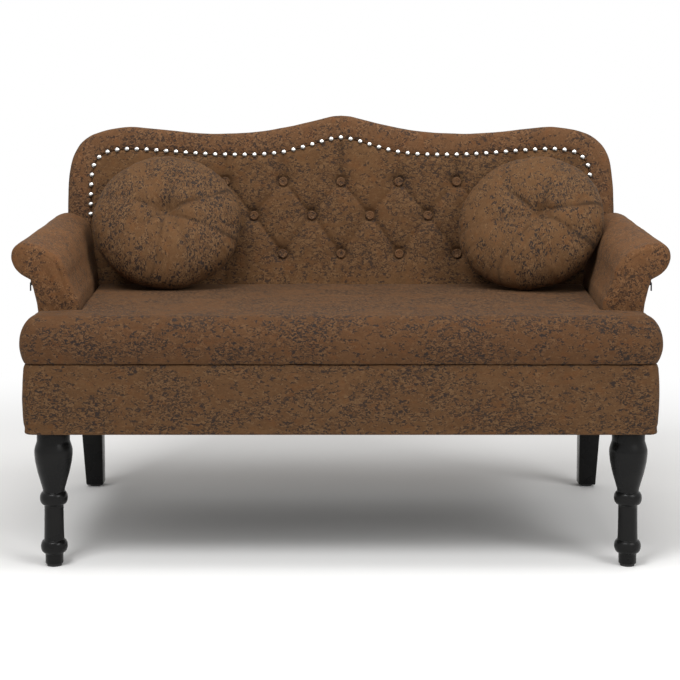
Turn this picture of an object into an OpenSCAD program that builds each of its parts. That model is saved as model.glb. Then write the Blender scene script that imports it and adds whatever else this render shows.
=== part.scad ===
// Upholstered bench: serpentine tufted back, rolled arms, padded seat and two loose round cushions.
// +Z is up, the front faces -Y, and the origin is on the floor under the middle of the bench.
// The right arm, legs and boards are drawn at +X and the left ones are their mirror image.

/* [Seat box] */
// Depth from the front of the seat roll to the heels of the back legs
overall_d = 645; // [625:5:665]
// Width of the padded seat box
seat_w = 1050; // [960:10:1150]
// Depth of the seat box from the front apron to the rear cloth
seat_d = 552; // [540:2:570]
// Thickness of the padding on the front and the sides of the seat box
apron_pad = 14; // [12:1:18]
// Swell of the apron padding between its top and bottom edges
apron_bulge = 3.5; // [0:0.5:6]
// Radius of the front corners of the apron
apron_round = 16; // [8:1:24]
// Thickness of the cloth and wadding on the rear of the seat box
rear_cloth_t = 4; // [2:0.5:8]
// Thickness of the plywood rails
rail_t = 18; // [15:1:20]
// Height of the plywood rails
rail_h = 100; // [90:2:120]
// Height of the cross rail under the middle of the deck
cross_rail_h = 70; // [40:5:85]
// Thickness of the plywood seat deck
deck_t = 12; // [9:1:18]
// Length of the short sides of a corner block
block_size = 62; // [56:1:80]
// Height of a corner block
block_h = 70; // [60:2:85]
// Thickness of the dust cover under the seat
dust_t = 1; // [0.6:0.2:2]

/* [Legs] */
// Height of the legs with their glides
leg_h = 234; // [200:2:260]
// Distance of the leg bolts from the outer face of the apron
leg_inset = 41; // [39:1:46]
// Distance of the front leg axis behind the apron front
front_leg_y = 47; // [42:1:54]
// Radius of the collar at the top of a front leg
collar_r = 27; // [25:0.5:28]
// Radius of the widest part of the front leg bulb
bulb_r = 32; // [29:0.5:36]
// Radius of the waist under the bulb
waist_r = 17.2; // [15:0.2:20]
// Radius of the two turned rings
ring_r = 23; // [21:0.5:26]
// Radius of the plain stem between the rings
stem_r = 16; // [14:0.5:18]
// Radius of the foot under the lower ring
foot_r = 14.6; // [13.5:0.1:18]
// Side of the square top of a back leg
back_leg_top = 46; // [40:1:50]
// Side of the square foot of a back leg
back_leg_foot = 34; // [30:1:40]
// Distance of the back leg's outer face inside the apron
back_leg_side = 6; // [4:1:8]
// Thickness of the nylon glides under the legs
glide_t = 4; // [3:0.5:6]
// Radius of a nylon glide
glide_r = 12; // [10:0.5:13]
// Thickness of the steel leg plates
plate_t = 2.5; // [2:0.5:3]
// Side of a square leg plate
plate_size = 46; // [44:1:50]
// Radius of the leg bolts
leg_bolt_r = 4; // [3:0.5:4.5]
// Length of a leg bolt inside the leg
leg_bolt_down = 22; // [16:1:24]
// Length of a leg bolt above the leg
leg_bolt_up = 38; // [30:2:50]
// Radius of the screws that hold the leg plates
plate_screw_r = 2; // [1.5:0.25:2.5]
// Length of the screws that hold the leg plates
plate_screw_l = 20; // [14:1:30]

/* [Seat cushion] */
// Height of the seat cushion above the deck at its edge
pad_h = 80; // [78:2:95]
// Rise of the crown in the middle of the seat
pad_crown = 4; // [0:1:8]
// Overhang of the rounded cushion front over the apron
roll_out = 10; // [6:1:14]
// Overhang of the cushion sides over the apron sides
side_out = 9; // [6:1:12]
// Amount that the cushion sides draw in at the seam above the apron
side_draw = 8; // [2:1:10]
// Height at which the cushion sides are fullest
side_full_h = 32; // [24:2:40]
// Width of the rounded top edge of the cushion
edge_round = 30; // [20:2:40]
// Radius of the front corners of the cushion in plan
pad_corner = 24; // [14:2:34]
// Height of the foam block inside the seat cushion
foam_h = 56; // [45:1:62]
// Wadding between the foam and the cushion's outer face
pad_wrap = 34; // [28:2:44]
// Wadding between the foam and the arms and the back
pad_thin_wrap = 12; // [8:1:16]

/* [Arms] */
// Distance of the arm fronts behind the apron front
arm_front_d = 84; // [78:2:100]
// Depth behind the apron front at which the rear arm section is measured
arm_rear_d = 480; // [460:5:500]
// Distance of the arm roll's nose outside the seat box
arm_nose_out = 37.5; // [30:0.5:42]
// Distance of the arm's foot inside the outer face of the seat box
arm_foot_side = 7.5; // [5:0.5:10]
// Distance of the crease under the roll outside the arm's foot
arm_crease_out = 12.5; // [10:0.5:16]
// Radius of the soft edge around the arm front
arm_edge = 9; // [6:0.5:12]
// Width of the arm at its front foot
arm_foot_w = 73; // [72:1:76]
// Amount that the arm grows narrower towards the back
arm_narrow = 26; // [18:1:28]
// Height of the arm front above the deck
arm_front_h = 193; // [184:1:196]
// Rise of the arm top from front to back
arm_rise = 26; // [10:1:34]
// Height of the crease under the arm roll above the deck
arm_crease_h = 130; // [120:1:136]
// Thickness of the arm cover with its wadding
arm_skin = 5; // [4:0.5:6]
// Thickness of the upright board inside an arm
arm_board_t = 18; // [15:1:18]
// Thickness of the foot batten inside an arm
arm_batten_t = 22; // [18:1:28]
// Distance that the batten stands out on each side of the board
batten_out = 9; // [8:0.5:9]
// Padding above the arm board
arm_over_board = 40; // [36:1:60]
// Padding in front of the arm board
arm_before_board = 24; // [20:1:36]
// Distance of the arm board's rear end in front of the back
arm_behind_board = 28; // [20:1:50]
// Distance of the arm bolts from the ends of the batten
arm_bolt_end = 42; // [30:1:70]
// Radius of the arm bolts
arm_bolt_r = 4; // [3:0.5:5]
// Height of the opening for the zip under the arm roll
zip_h = 10; // [8:1:12]
// Distance of the closed zip slider behind the arm front
zip_start = 24; // [22:1:40]
// Length that the zip slider travels
zip_travel = 290; // [200:10:300]
// Length of the hanging zip pull
zip_pull_l = 12; // [10:1:24]

/* [Back] */
// Lean of the back
back_rake = 10; // [6:0.5:11]
// Distance of the back's sides outside the seat box
back_side_out = 9.5; // [4:0.5:12]
// Height of the centre peak above the deck, along the lean
peak_h = 417.5; // [400:0.5:430]
// Height of the dips beside the peak above the deck, along the lean
dip_h = 378; // [365:0.5:385]
// Height of the shoulders above the deck, along the lean
shoulder_h = 392; // [380:0.5:396]
// Distance of the dips from the middle
dip_x = 250; // [220:5:280]
// Half width of the rounded tip of the peak
peak_round = 38; // [20:2:60]
// Radius of the shoulders
shoulder_r = 95; // [70:5:120]
// Width of the padded border around the tufted field
border_w = 43; // [36:1:50]
// Width of the groove that the nails stand in
groove_w = 2.6; // [2.2:0.2:3.4]
// Depth of the groove below the fullest padding
groove_depth = 5; // [3:0.5:6]
// Thickness of the tufted cover and of the border padding
cover_t = 16; // [14:1:20]
// Wrap of the border cloth around the sides of the back
boxing_t = 8; // [6:1:12]
// Depth of the boards and the foam behind the tufted cover
back_board_t = 30; // [24:1:36]
// Width of the boards around the back foam
back_board_w = 54; // [46:1:64]
// Thickness of the plywood panel behind the back foam
back_panel_t = 5; // [4:1:8]
// Depth of the posts behind the panel
post_t = 40; // [30:1:44]
// Width of the posts behind the panel
post_w = 40; // [30:2:50]
// Thickness of the outside back
outside_back_t = 10; // [6:1:12]

/* [Tufting and nails] */
// Sideways distance between a tuft and the next one in the row above
tuft_half_x = 56.6; // [48:0.2:64]
// Height of the lowest row of tufts above the deck, along the lean
tuft_low_z = 143; // [130:1:150]
// Distance from the lowest row to the middle row
tuft_step_low = 75; // [66:1:80]
// Distance from the middle row to the top row
tuft_step_high = 66.5; // [60:0.5:74]
// Depth of the folds between the tufts
fold_depth = 4.5; // [2:0.5:6]
// Depth of the dimples at the tufts
dimple_depth = 11; // [8:0.5:11]
// Radius of a tuft button
button_r = 9; // [7:0.5:11]
// Thickness of a tuft button at its middle
button_t = 5.5; // [4:0.5:8]
// Radius of the cord that holds a button
button_cord_r = 1.5; // [1:0.25:2]
// Distance between the decorative nails
nail_pitch = 19.4; // [17:0.2:24]
// Radius of a nail head
nail_r = 4.6; // [3.6:0.2:5.4]
// Height of a nail head
nail_h = 2.8; // [2:0.2:3.6]
// Radius of a nail's pin
nail_pin_r = 0.8; // [0.6:0.1:1]
// Height of the lowest nails above the deck, along the lean
nail_low_z = 220; // [214:1:240]

/* [Round cushions] */
// Radius of a round cushion
cushion_r = 141; // [125:1:150]
// Greatest half thickness of a round cushion
cushion_h = 52; // [40:1:60]
// Share of its thickness that a cushion loses at its pinched middle
cushion_pinch = 0.6; // [0.4:0.05:0.7]
// Number of folds that run from a cushion's middle to its rim
folds = 6; // [5:1:8]
// Depth of the folds as a share of the cushion's thickness
fold_share = 0.16; // [0:0.02:0.2]
// Lean of the cushions against the back
cushion_lean = 33; // [18:1:34]
// Turn of the left cushion towards the middle
cushion_turn_left = 6; // [0:1:14]
// Turn of the right cushion towards the middle
cushion_turn_right = 22; // [14:1:26]
// Gap between the left cushion's rim and the arm's foot
cushion_gap_left = 0; // [-1:1:30]
// Distance that the right cushion's rim reaches over the arm's foot
cushion_over_right = 29; // [0:1:30]
// Thickness of the cushion covers around their filling
cushion_skin = 4; // [3:0.5:6]

/* [Fits] */
// Clearance between pieces of one assembly that aren't glued
fit_gap = 0.3; // [0.2:0.1:0.5]
// Clearance around things that move or can be lifted off
free_gap = 0.5; // [0.4:0.1:1]

/* [Hidden] */

cloth = [0.43, 0.31, 0.2];
cloth_light = [0.5, 0.36, 0.24];
wood = [0.8, 0.68, 0.5];
black = [0.12, 0.12, 0.13];
steel = [0.72, 0.73, 0.75];
foam = [0.93, 0.9, 0.78];
silver = [0.9, 0.9, 0.92];

front_y = roll_out - overall_d / 2;
rail_z = leg_h + plate_t;
deck_z = rail_z + rail_h;
deck_top = deck_z + deck_t;
frame_x = seat_w / 2 - apron_pad;
frame_front = front_y + apron_pad;
frame_rear = front_y + seat_d - rear_cloth_t;
leg_x = seat_w / 2 - leg_inset;
leg_front = front_y + front_leg_y;
leg_rear = frame_rear - back_leg_top / 2 + 1;
bolt_rear = frame_rear - rail_t - 10;
plate_rear = frame_rear - plate_size / 2 - 1;
arm_front = front_y + arm_front_d;
arm_rear = front_y + arm_rear_d;
board_y = cover_t + fit_gap;
panel_y = board_y + back_board_t + fit_gap;
post_y = panel_y + back_panel_t + fit_gap;
outside_y = post_y + post_t + fit_gap;
back_y = front_y + seat_d - (outside_y + outside_back_t) / cos(back_rake);
far = 2000;

function lerp(a, b, t) = a + (b - a) * t;
function clamp01(t) = min(1, max(0, t));
function smooth(t) = let (c = clamp01(t)) c * c * (3 - 2 * c);
function at(p, i) = p[min(len(p) - 1, max(0, i))];

// One point of a smooth curve through a list of points
function curve_point(p, i, t) =
    let (a = at(p, i - 1), b = at(p, i), c = at(p, i + 1), d = at(p, i + 2))
    0.5 * (2 * b + (c - a) * t + (2 * a - 5 * b + 4 * c - d) * t * t + (3 * b - a - 3 * c + d) * t * t * t);

// A smooth open curve through a list of points, with some steps between two of them
function curve(p, steps) = [
    for (i = [0 : len(p) - 2], k = [0 : steps - 1]) curve_point(p, i, k / steps),
    p[len(p) - 1]
];

// Unit vector that points to the left of the way from a to b
function left_of(a, b) = let (d = b - a, n = norm(d)) n == 0 ? [0, 0] : [-d[1], d[0]] / n;

// A list in the opposite order
function backwards(p) = [for (i = [len(p) - 1 : -1 : 0]) p[i]];

// Faces between m rings of n points each
function ring_sides(n, m) = [
    for (k = [0 : m - 2], i = [0 : n - 1])
        let (j = (i + 1) % n, a = k * n, b = (k + 1) * n)
        each [[a + i, a + j, b + i], [a + j, b + j, b + i]]
];

// Closed skin over rings of equal length, with a hub point at each end;
// the rings run counter-clockwise as seen from the first hub
module skin(rings, hub_a, hub_b) {
    n = len(rings[0]);
    m = len(rings);
    points = concat([for (r = rings) each r], [hub_a, hub_b]);
    cap_a = [for (i = [0 : n - 1]) [(i + 1) % n, i, n * m]];
    cap_b = [for (i = [0 : n - 1]) [(m - 1) * n + i, (m - 1) * n + (i + 1) % n, n * m + 1]];
    polyhedron(points, concat(ring_sides(n, m), cap_a, cap_b));
}

module both_sides() {
    children();
    mirror([1, 0, 0]) children();
}

// Everything below the top of the deck
module below_deck() {
    translate([-far / 2, -far / 2, deck_top - far]) cube([far, far, far]);
}

// The leaning frame of the back: x sideways, y into the back, z up along the lean
module back_space() {
    translate([0, back_y, deck_top]) rotate([-back_rake, 0, 0]) children();
}

// Everything behind a plane in front of the back
module behind_back(gap) {
    back_space() translate([-far / 2, -gap, -far / 2]) cube([far, far, far]);
}

// Seat box

module side_rail() {
    translate([frame_x - rail_t, frame_front, rail_z])
        cube([rail_t, frame_rear - frame_front, rail_h]);
}

module seat_side_rail_right() {
    color(wood) side_rail();
}

module seat_side_rail_left() {
    color(wood) mirror([1, 0, 0]) side_rail();
}

module end_rail(y) {
    translate([rail_t - frame_x, y, rail_z]) cube([2 * (frame_x - rail_t), rail_t, rail_h]);
}

module seat_front_rail() {
    color(wood) end_rail(frame_front);
}

module seat_back_rail() {
    color(wood) end_rail(frame_rear - rail_t);
}

module seat_cross_rail() {
    color(wood) translate([-rail_t / 2, frame_front + rail_t, deck_z - cross_rail_h])
        cube([rail_t, frame_rear - frame_front - 2 * rail_t, cross_rail_h]);
}

// Hardware of each leg: side, depth of its bolt, +1 at the front or -1 at the rear, depth of its plate
leg_places = [
    for (side = [-1, 1]) each [[side, leg_front, 1, leg_front], [side, bolt_rear, -1, plate_rear]]
];
plate_screw_step = plate_size / 2 - 6;

module corner_block() {
    linear_extrude(block_h) polygon([
        [0, 0], [-block_size, 0], [-block_size, block_size / 3],
        [-block_size / 3, block_size], [0, block_size]
    ]);
}

// Screw positions of one leg plate, both on the inner side of the bolt
function screw_spots(p) = [
    [p[0] * (leg_x - plate_screw_step), p[3] + p[2] * plate_screw_r],
    [p[0] * (leg_x - plate_screw_step), p[3] + p[2] * plate_screw_step]
];

module corner_blocks() {
    color(wood) for (p = leg_places) {
        inner_y = p[2] > 0 ? frame_front + rail_t : frame_rear - rail_t;
        difference() {
            translate([p[0] * (frame_x - rail_t), inner_y, rail_z])
                scale_to_corner(p) corner_block();
            translate([p[0] * leg_x, p[1], rail_z - 1])
                cylinder(r = leg_bolt_r + fit_gap, h = leg_bolt_up - plate_t + 3, $fn = 32);
            for (s = screw_spots(p))
                translate([s[0], s[1], rail_z - 1])
                    cylinder(r = plate_screw_r + fit_gap / 2, h = plate_screw_l + 2, $fn = 24);
        }
    }
}

// Turns a corner piece so that it lies inside the named corner
module scale_to_corner(p) {
    mirror([p[0] < 0 ? 1 : 0, 0, 0]) mirror([0, p[2] < 0 ? 1 : 0, 0]) children();
}

arm_board_a = arm_front + arm_before_board;
arm_board_b = back_y - arm_behind_board;
arm_bolt_ys = [arm_board_a + arm_bolt_end, arm_board_b - arm_bolt_end];
arm_bolt_x = frame_x - rail_t - 2 * arm_bolt_r - 1;
bracket_xs = [-1, 0, 1];
post_side_x = seat_w / 2 + back_side_out - boxing_t - 8 - post_w;
bracket_leaf = 3;
bracket_foot = 36;
bracket_w = 20;
bracket_h = 40;
bracket_bolt_r = 3;
bracket_y = back_y + post_y / cos(back_rake) + bracket_h * tan(back_rake) + bracket_w / 2 + fit_gap;

module seat_deck() {
    color(wood) difference() {
        translate([-frame_x, frame_front, deck_z])
            cube([2 * frame_x, frame_rear - frame_front, deck_t]);
        for (side = [-1, 1], y = arm_bolt_ys)
            translate([side * arm_bolt_x, y, deck_z - 1])
                cylinder(r = arm_bolt_r + fit_gap, h = deck_t + 2, $fn = 32);
        for (x = bracket_bolt_xs)
            translate([x, bracket_y, deck_z - 1])
                cylinder(r = bracket_bolt_r + fit_gap, h = deck_t + 2, $fn = 32);
    }
}

// Plan outline of the seat cushion at one inset, open towards the back
pad_x = seat_w / 2 + side_out;
pad_back = back_y + pad_h;
corner_steps = 5;

function pad_outline(inset) = [
    for (k = [0 : corner_steps])
        let (a = 180 + 90 * k / corner_steps, r = max(2, pad_corner - inset / 2))
        [-pad_x + inset + r + r * cos(a), front_y - roll_out + inset + r + r * sin(a)],
    for (k = [0 : corner_steps])
        let (a = 270 + 90 * k / corner_steps, r = max(2, pad_corner - inset / 2))
        [pad_x - inset - r + r * cos(a), front_y - roll_out + inset + r + r * sin(a)],
    [pad_x - inset, pad_back],
    [-pad_x + inset, pad_back]
];

// Inset and height of the cushion's side, from the seam up to the crown
pad_profile = [
    for (t = [0 : 0.25 : 0.75]) [side_draw * (1 - t) * (1 - t), side_full_h * t],
    for (a = [0 : 15 : 90]) [
        edge_round * (1 - cos(a)),
        side_full_h + (pad_h - side_full_h) * sin(a)
    ],
    for (t = [0.25, 0.5, 1]) [edge_round + 190 * t, pad_h + pad_crown * sin(90 * t)]
];

function lift(outline, z) = [for (p = outline) [p[0], p[1], z]];

module pad_form() {
    rings = [for (e = pad_profile) lift(pad_outline(e[0]), deck_top + e[1])];
    hub_y = (front_y + back_y) / 2;
    skin(backwards(rings), [0, hub_y, deck_top + pad_h + pad_crown], [0, hub_y, deck_top]);
}

arm_out_x = seat_w / 2 - arm_foot_side;
arm_in_front = arm_out_x - arm_foot_w;
arm_in_rear = arm_in_front + arm_narrow;

// Inner side of an arm's foot at a depth behind the arm front
function arm_foot_in(y) = lerp(arm_in_front, arm_in_rear, (y - arm_front) / (arm_rear - arm_front));

// The floor space of both arms, grown by a gap
module arm_notches(gap) {
    y_end = arm_rear + arm_front_h;
    both_sides() translate([0, 0, deck_top - 1]) linear_extrude(pad_h + pad_crown + 20) polygon([
        [arm_in_front - gap, arm_front - gap],
        [arm_foot_in(y_end) - gap, y_end],
        [far, y_end],
        [far, arm_front - gap]
    ]);
}

// The seat foam is a T: wide in front of the arms, narrow between them
module foam_block(grow, top) {
    wide = pad_x - pad_wrap + grow;
    y_a = front_y - roll_out + pad_wrap - grow;
    y_b = arm_front - pad_thin_wrap + grow;
    y_c = back_y - pad_thin_wrap + grow;
    narrow_a = arm_in_front - pad_thin_wrap + grow;
    narrow_b = arm_foot_in(y_c) - pad_thin_wrap + grow;
    linear_extrude(top) polygon([
        [-wide, y_a], [wide, y_a], [wide, y_b], [narrow_a, y_b], [narrow_b, y_c],
        [-narrow_b, y_c], [-narrow_a, y_b], [-wide, y_b]
    ]);
}

module seat_foam() {
    color(foam) translate([0, 0, deck_top]) foam_block(0, foam_h);
}

module seat_cover() {
    color(cloth) difference() {
        pad_form();
        arm_notches(free_gap);
        behind_back(free_gap);
        translate([0, 0, deck_top - 1]) foam_block(fit_gap, foam_h + fit_gap + 1);
    }
}

// Apron padding around the seat box

apron_h = deck_top - leg_h;
apron_levels = 6;

function apron_outline(grow) = let (
        x = seat_w / 2 + grow,
        ya = front_y - grow,
        yb = front_y + seat_d,
        r = apron_round + grow
    ) [
    for (k = [0 : 4]) let (a = 180 + 90 * k / 4) [-x + r + r * cos(a), ya + r + r * sin(a)],
    for (k = [0 : 4]) let (a = 270 + 90 * k / 4) [x - r + r * cos(a), ya + r + r * sin(a)],
    [x, yb],
    [-x, yb]
];

module apron_form() {
    rings = [
        for (k = [0 : apron_levels])
            let (t = k / apron_levels)
            lift(apron_outline(apron_bulge * sin(180 * t)), leg_h + apron_h * t)
    ];
    hub_y = front_y + seat_d / 2;
    difference() {
        skin(backwards(rings), [0, hub_y, deck_top], [0, hub_y, leg_h]);
        translate([-frame_x, frame_front, leg_h - 1])
            cube([2 * frame_x, frame_rear - frame_front, apron_h + 2]);
    }
}

module apron_part(x0, x1, y0, y1) {
    intersection() {
        apron_form();
        translate([x0, y0, leg_h - 1]) cube([x1 - x0, y1 - y0, apron_h + 2]);
    }
}

module apron_front() {
    color(cloth) apron_part(-far / 2, far / 2, -far / 2, frame_front);
}

module apron_side_right() {
    color(cloth) apron_part(frame_x, far / 2, frame_front, frame_rear);
}

module apron_side_left() {
    color(cloth) apron_part(-far / 2, -frame_x, frame_front, frame_rear);
}

module apron_back() {
    color(cloth) apron_part(-far / 2, far / 2, frame_rear, far / 2);
}

module dust_cover() {
    room = plate_size / 2 + 2;
    color(black) difference() {
        translate([-frame_x + 1, frame_front + 1, rail_z - dust_t])
            cube([2 * frame_x - 2, frame_rear - frame_front - 2, dust_t]);
        for (p = leg_places)
            translate([p[0] * leg_x - room, p[3] - room, rail_z - dust_t - 1])
                cube([2 * room, 2 * room, dust_t + 2]);
    }
}

// Legs

// Half circle of a turned ring as radius and height
function turned_ring(z0, z1, r) = [
    for (a = [-80 : 20 : 80]) [r - 5 + 5 * cos(a), (z0 + z1) / 2 + (z1 - z0) / 2 * sin(a)]
];

ring_low = 21;
ring_low_top = 44.5;
ring_high = 129;
ring_high_top = 107;
bulb_top = 20;
bulb_down = 40;

function front_leg_profile() = let (top = leg_h, hi = leg_h - ring_high) concat(
    [[0, glide_t], [foot_r - 0.8, glide_t], [foot_r, glide_t + 1], [foot_r, ring_low - 1]],
    turned_ring(ring_low, ring_low_top, ring_r - 0.5),
    [[stem_r + 0.9, ring_low_top + 1.5], [stem_r, ring_low_top + 22], [stem_r - 0.5, hi - 1.5]],
    turned_ring(hi, top - ring_high_top, ring_r + 0.5),
    curve([
        [waist_r, top - ring_high_top + 1],
        [waist_r + 1.6, top - lerp(bulb_down, ring_high_top, 0.8)],
        [lerp(waist_r, bulb_r, 0.45), top - lerp(bulb_down, ring_high_top, 0.5)],
        [lerp(waist_r, bulb_r, 0.85), top - lerp(bulb_down, ring_high_top, 0.22)],
        [bulb_r, top - bulb_down],
        [lerp(bulb_r, collar_r, 0.25), top - lerp(bulb_top, bulb_down, 0.4)],
        [collar_r - 0.3, top - bulb_top]
    ], 4),
    [[collar_r, top - bulb_top + 1], [collar_r, top], [0, top]]
);

module front_leg() {
    translate([leg_x, leg_front, 0]) difference() {
        rotate_extrude($fn = 72) polygon(front_leg_profile());
        translate([0, 0, leg_h - leg_bolt_down - 1])
            cylinder(r = leg_bolt_r + fit_gap / 2, h = leg_bolt_down + 2, $fn = 32);
    }
}

module front_leg_right() {
    color(black) front_leg();
}

module front_leg_left() {
    color(black) mirror([1, 0, 0]) front_leg();
}

back_leg_out = seat_w / 2 - back_leg_side;
heel_y = overall_d / 2;

module back_leg() {
    difference() {
        hull() {
            translate([back_leg_out - back_leg_top, leg_rear - back_leg_top / 2, leg_h - 1])
                cube([back_leg_top, back_leg_top, 1]);
            translate([back_leg_out - back_leg_foot, heel_y - back_leg_foot, glide_t])
                cube([back_leg_foot, back_leg_foot, 1]);
        }
        translate([leg_x, bolt_rear, leg_h - leg_bolt_down - 1])
            cylinder(r = leg_bolt_r + fit_gap / 2, h = leg_bolt_down + 2, $fn = 32);
    }
}

module back_leg_right() {
    color(black) back_leg();
}

module back_leg_left() {
    color(black) mirror([1, 0, 0]) back_leg();
}

module leg_plates() {
    color(steel) for (p = leg_places) difference() {
        translate([p[0] * leg_x - plate_size / 2, p[3] - plate_size / 2, leg_h])
            cube([plate_size, plate_size, plate_t]);
        translate([p[0] * leg_x, p[1], leg_h - 1])
            cylinder(r = leg_bolt_r + fit_gap / 2, h = plate_t + 2, $fn = 32);
        for (s = screw_spots(p))
            translate([s[0], s[1], leg_h - 1])
                cylinder(r = plate_screw_r + fit_gap / 2, h = plate_t + 2, $fn = 24);
    }
}

module leg_bolts() {
    color(steel) for (p = leg_places)
        translate([p[0] * leg_x, p[1], leg_h - leg_bolt_down])
            cylinder(r = leg_bolt_r, h = leg_bolt_down + leg_bolt_up, $fn = 32);
}

module plate_screws() {
    color(steel) for (p = leg_places, s = screw_spots(p))
        translate([s[0], s[1], leg_h]) cylinder(r = plate_screw_r, h = plate_screw_l, $fn = 24);
}

module leg_glides() {
    color(black) both_sides() {
        translate([leg_x, leg_front, 0]) cylinder(r = glide_r, h = glide_t, $fn = 48);
        translate([back_leg_out - back_leg_foot / 2, heel_y - back_leg_foot / 2, 0])
            cylinder(r = glide_r, h = glide_t, $fn = 48);
    }
}

// Arms

arm_nose_x = seat_w / 2 + arm_nose_out;
crease_x = arm_out_x + arm_crease_out;

// Right arm section as x and height above the deck: inner side, roll and nose, down to the crease
function arm_roll(t) = let (
        in = lerp(arm_in_front, arm_in_rear, t),
        w = arm_foot_w,
        h = arm_front_h,
        top = arm_front_h + arm_rise * t,
        nose = h * lerp(0.104, 0.14, t)
    ) [
    [in, 0],
    [in + 0.01 * w, h * (0.435 + 0.041 * t)],
    [in + w * lerp(0.123, 0.041, t), h * (0.549 + 0.052 * t)],
    [in + w * lerp(0.26, 0.11, t), h * (0.679 + 0.062 * t)],
    [in + w * lerp(0.33, 0.164, t), h * (0.782 + 0.104 * t)],
    [in + w * lerp(0.534, 0.288, t), top - h * (0.114 - 0.016 * t)],
    [in + w * lerp(0.918, 0.575, t), top - h * (0.031 - 0.01 * t)],
    [arm_nose_x - w * lerp(0.288, 0.37, t), top],
    [arm_nose_x - w * 0.068, top - nose * 0.35],
    [arm_nose_x, top - nose],
    [arm_nose_x - w * 0.11, top - nose - h * 0.093],
    [crease_x, arm_crease_h]
];

// The outer side from the crease down to the deck
arm_side = [
    [crease_x, arm_crease_h],
    [crease_x - 0.56 * arm_crease_out, arm_crease_h * 0.82],
    [arm_out_x, arm_crease_h * 0.57],
    [arm_out_x, 0]
];

function arm_section(t) = let (side = curve(arm_side, 2)) concat(
    curve(arm_roll(t), 2),
    [for (i = [1 : len(side) - 1]) side[i]]
);

// A section drawn in by an inset; its two foot points stay on the deck
function inset_section(s, inset) = [
    for (i = [0 : len(s) - 1])
        i == 0 ? s[0] + [inset, 0]
        : i == len(s) - 1 ? s[i] - [inset, 0]
        : s[i] - inset * left_of(s[i - 1], s[i + 1])
];

function arm_ring(y, inset, drop) = let (
        t = (y - arm_front) / (arm_rear - arm_front),
        s = inset_section(arm_section(t), inset)
    ) [for (i = [0 : len(s) - 1])
        [s[i][0], y, deck_top + s[i][1] - ((i == 0 || i == len(s) - 1) ? drop : 0)]];

arm_inner_edge = arm_edge * 0.22;

function arm_hub(y) = [lerp(arm_in_front, arm_nose_x, 0.5), y, deck_top + arm_front_h * 0.78];

// The right arm as a loft, with a crowned front and its front edge rounded over some millimetres
module arm_form(inset, start, round, drop) {
    y_end = arm_rear + arm_front_h / 2;
    crown = round / 4;
    y0 = arm_front + start + crown;
    rings = [
        for (a = [10, 35, 62, 90])
            arm_ring(y0 + round * (1 - cos(a)) * 1.2, inset + round * (1 - sin(a)), drop),
        for (t = [0.5, 1]) arm_ring(lerp(y0 + round * 1.2, y_end, t), inset, drop)
    ];
    skin(backwards(rings), arm_hub(y_end), arm_hub(y0 - crown));
}

arm_board_x = arm_in_rear + batten_out + arm_skin;
arm_board_top = arm_front_h - arm_over_board;

module batten_solid(grow) {
    translate([arm_board_x - batten_out - grow, arm_board_a - grow, deck_top - grow])
        cube([arm_board_t + 2 * batten_out + 2 * grow, arm_board_b - arm_board_a + 2 * grow,
              arm_batten_t + 2 * grow]);
}

module board_solid(grow) {
    z0 = deck_top + arm_batten_t;
    translate([arm_board_x - grow, arm_board_a - grow, z0 - grow])
        cube([arm_board_t + 2 * grow, arm_board_b - arm_board_a + 2 * grow,
              arm_board_top - arm_batten_t + 2 * grow]);
}

module arm_batten() {
    difference() {
        batten_solid(0);
        for (y = arm_bolt_ys)
            translate([arm_bolt_x, y, deck_top - 1])
                cylinder(r = arm_bolt_r + fit_gap / 2, h = arm_batten_t - 1, $fn = 32);
    }
}

module arm_batten_right() {
    color(wood) arm_batten();
}

module arm_batten_left() {
    color(wood) mirror([1, 0, 0]) arm_batten();
}

module arm_board_right() {
    color(wood) board_solid(0);
}

module arm_board_left() {
    color(wood) mirror([1, 0, 0]) board_solid(0);
}

module arm_foam() {
    difference() {
        arm_form(arm_skin + fit_gap, arm_skin * 1.4, arm_inner_edge, 0);
        behind_back(free_gap + arm_skin);
        batten_solid(fit_gap);
        board_solid(fit_gap);
    }
}

module arm_foam_right() {
    color(foam) arm_foam();
}

module arm_foam_left() {
    color(foam) mirror([1, 0, 0]) arm_foam();
}

zip_x = crease_x - 6;
zip_z = deck_top + arm_crease_h - 1 - zip_h;
zip_a = arm_front + zip_start - 12;
zip_b = arm_front + zip_start + zip_travel + 12;
zip_t = 3;

module arm_cover() {
    difference() {
        arm_form(0, 0, arm_edge, 0);
        difference() {
            arm_form(arm_skin, arm_skin * 1.4 - fit_gap, arm_inner_edge, 1);
            behind_back(free_gap + arm_skin - fit_gap);
        }
        behind_back(free_gap);
        translate([zip_x, zip_a, zip_z]) cube([arm_nose_x - zip_x, zip_b - zip_a, zip_h]);
    }
}

module arm_cover_right() {
    color(cloth) arm_cover();
}

module arm_cover_left() {
    color(cloth) mirror([1, 0, 0]) arm_cover();
}

module arm_bolts() {
    head_h = 5;
    color(steel) for (side = [-1, 1], y = arm_bolt_ys)
        translate([side * arm_bolt_x, y, deck_z]) {
            translate([0, 0, -head_h]) cylinder(r = 2 * arm_bolt_r, h = head_h, $fn = 6);
            cylinder(r = arm_bolt_r, h = deck_t + arm_batten_t - 4, $fn = 32);
        }
}

// Zips under the arm rolls

module zip_tape() {
    translate([zip_x + fit_gap, zip_a + fit_gap, zip_z + fit_gap])
        cube([zip_t, zip_b - zip_a - 2 * fit_gap, zip_h - 2 * fit_gap]);
}

slider_x = zip_x + fit_gap + zip_t + fit_gap;
slider_y = arm_front + zip_start;
slider_l = 10;
slider_t = 3;
pull_t = 1.6;
pull_w = 5;
pin_z = zip_z + 3;

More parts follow.
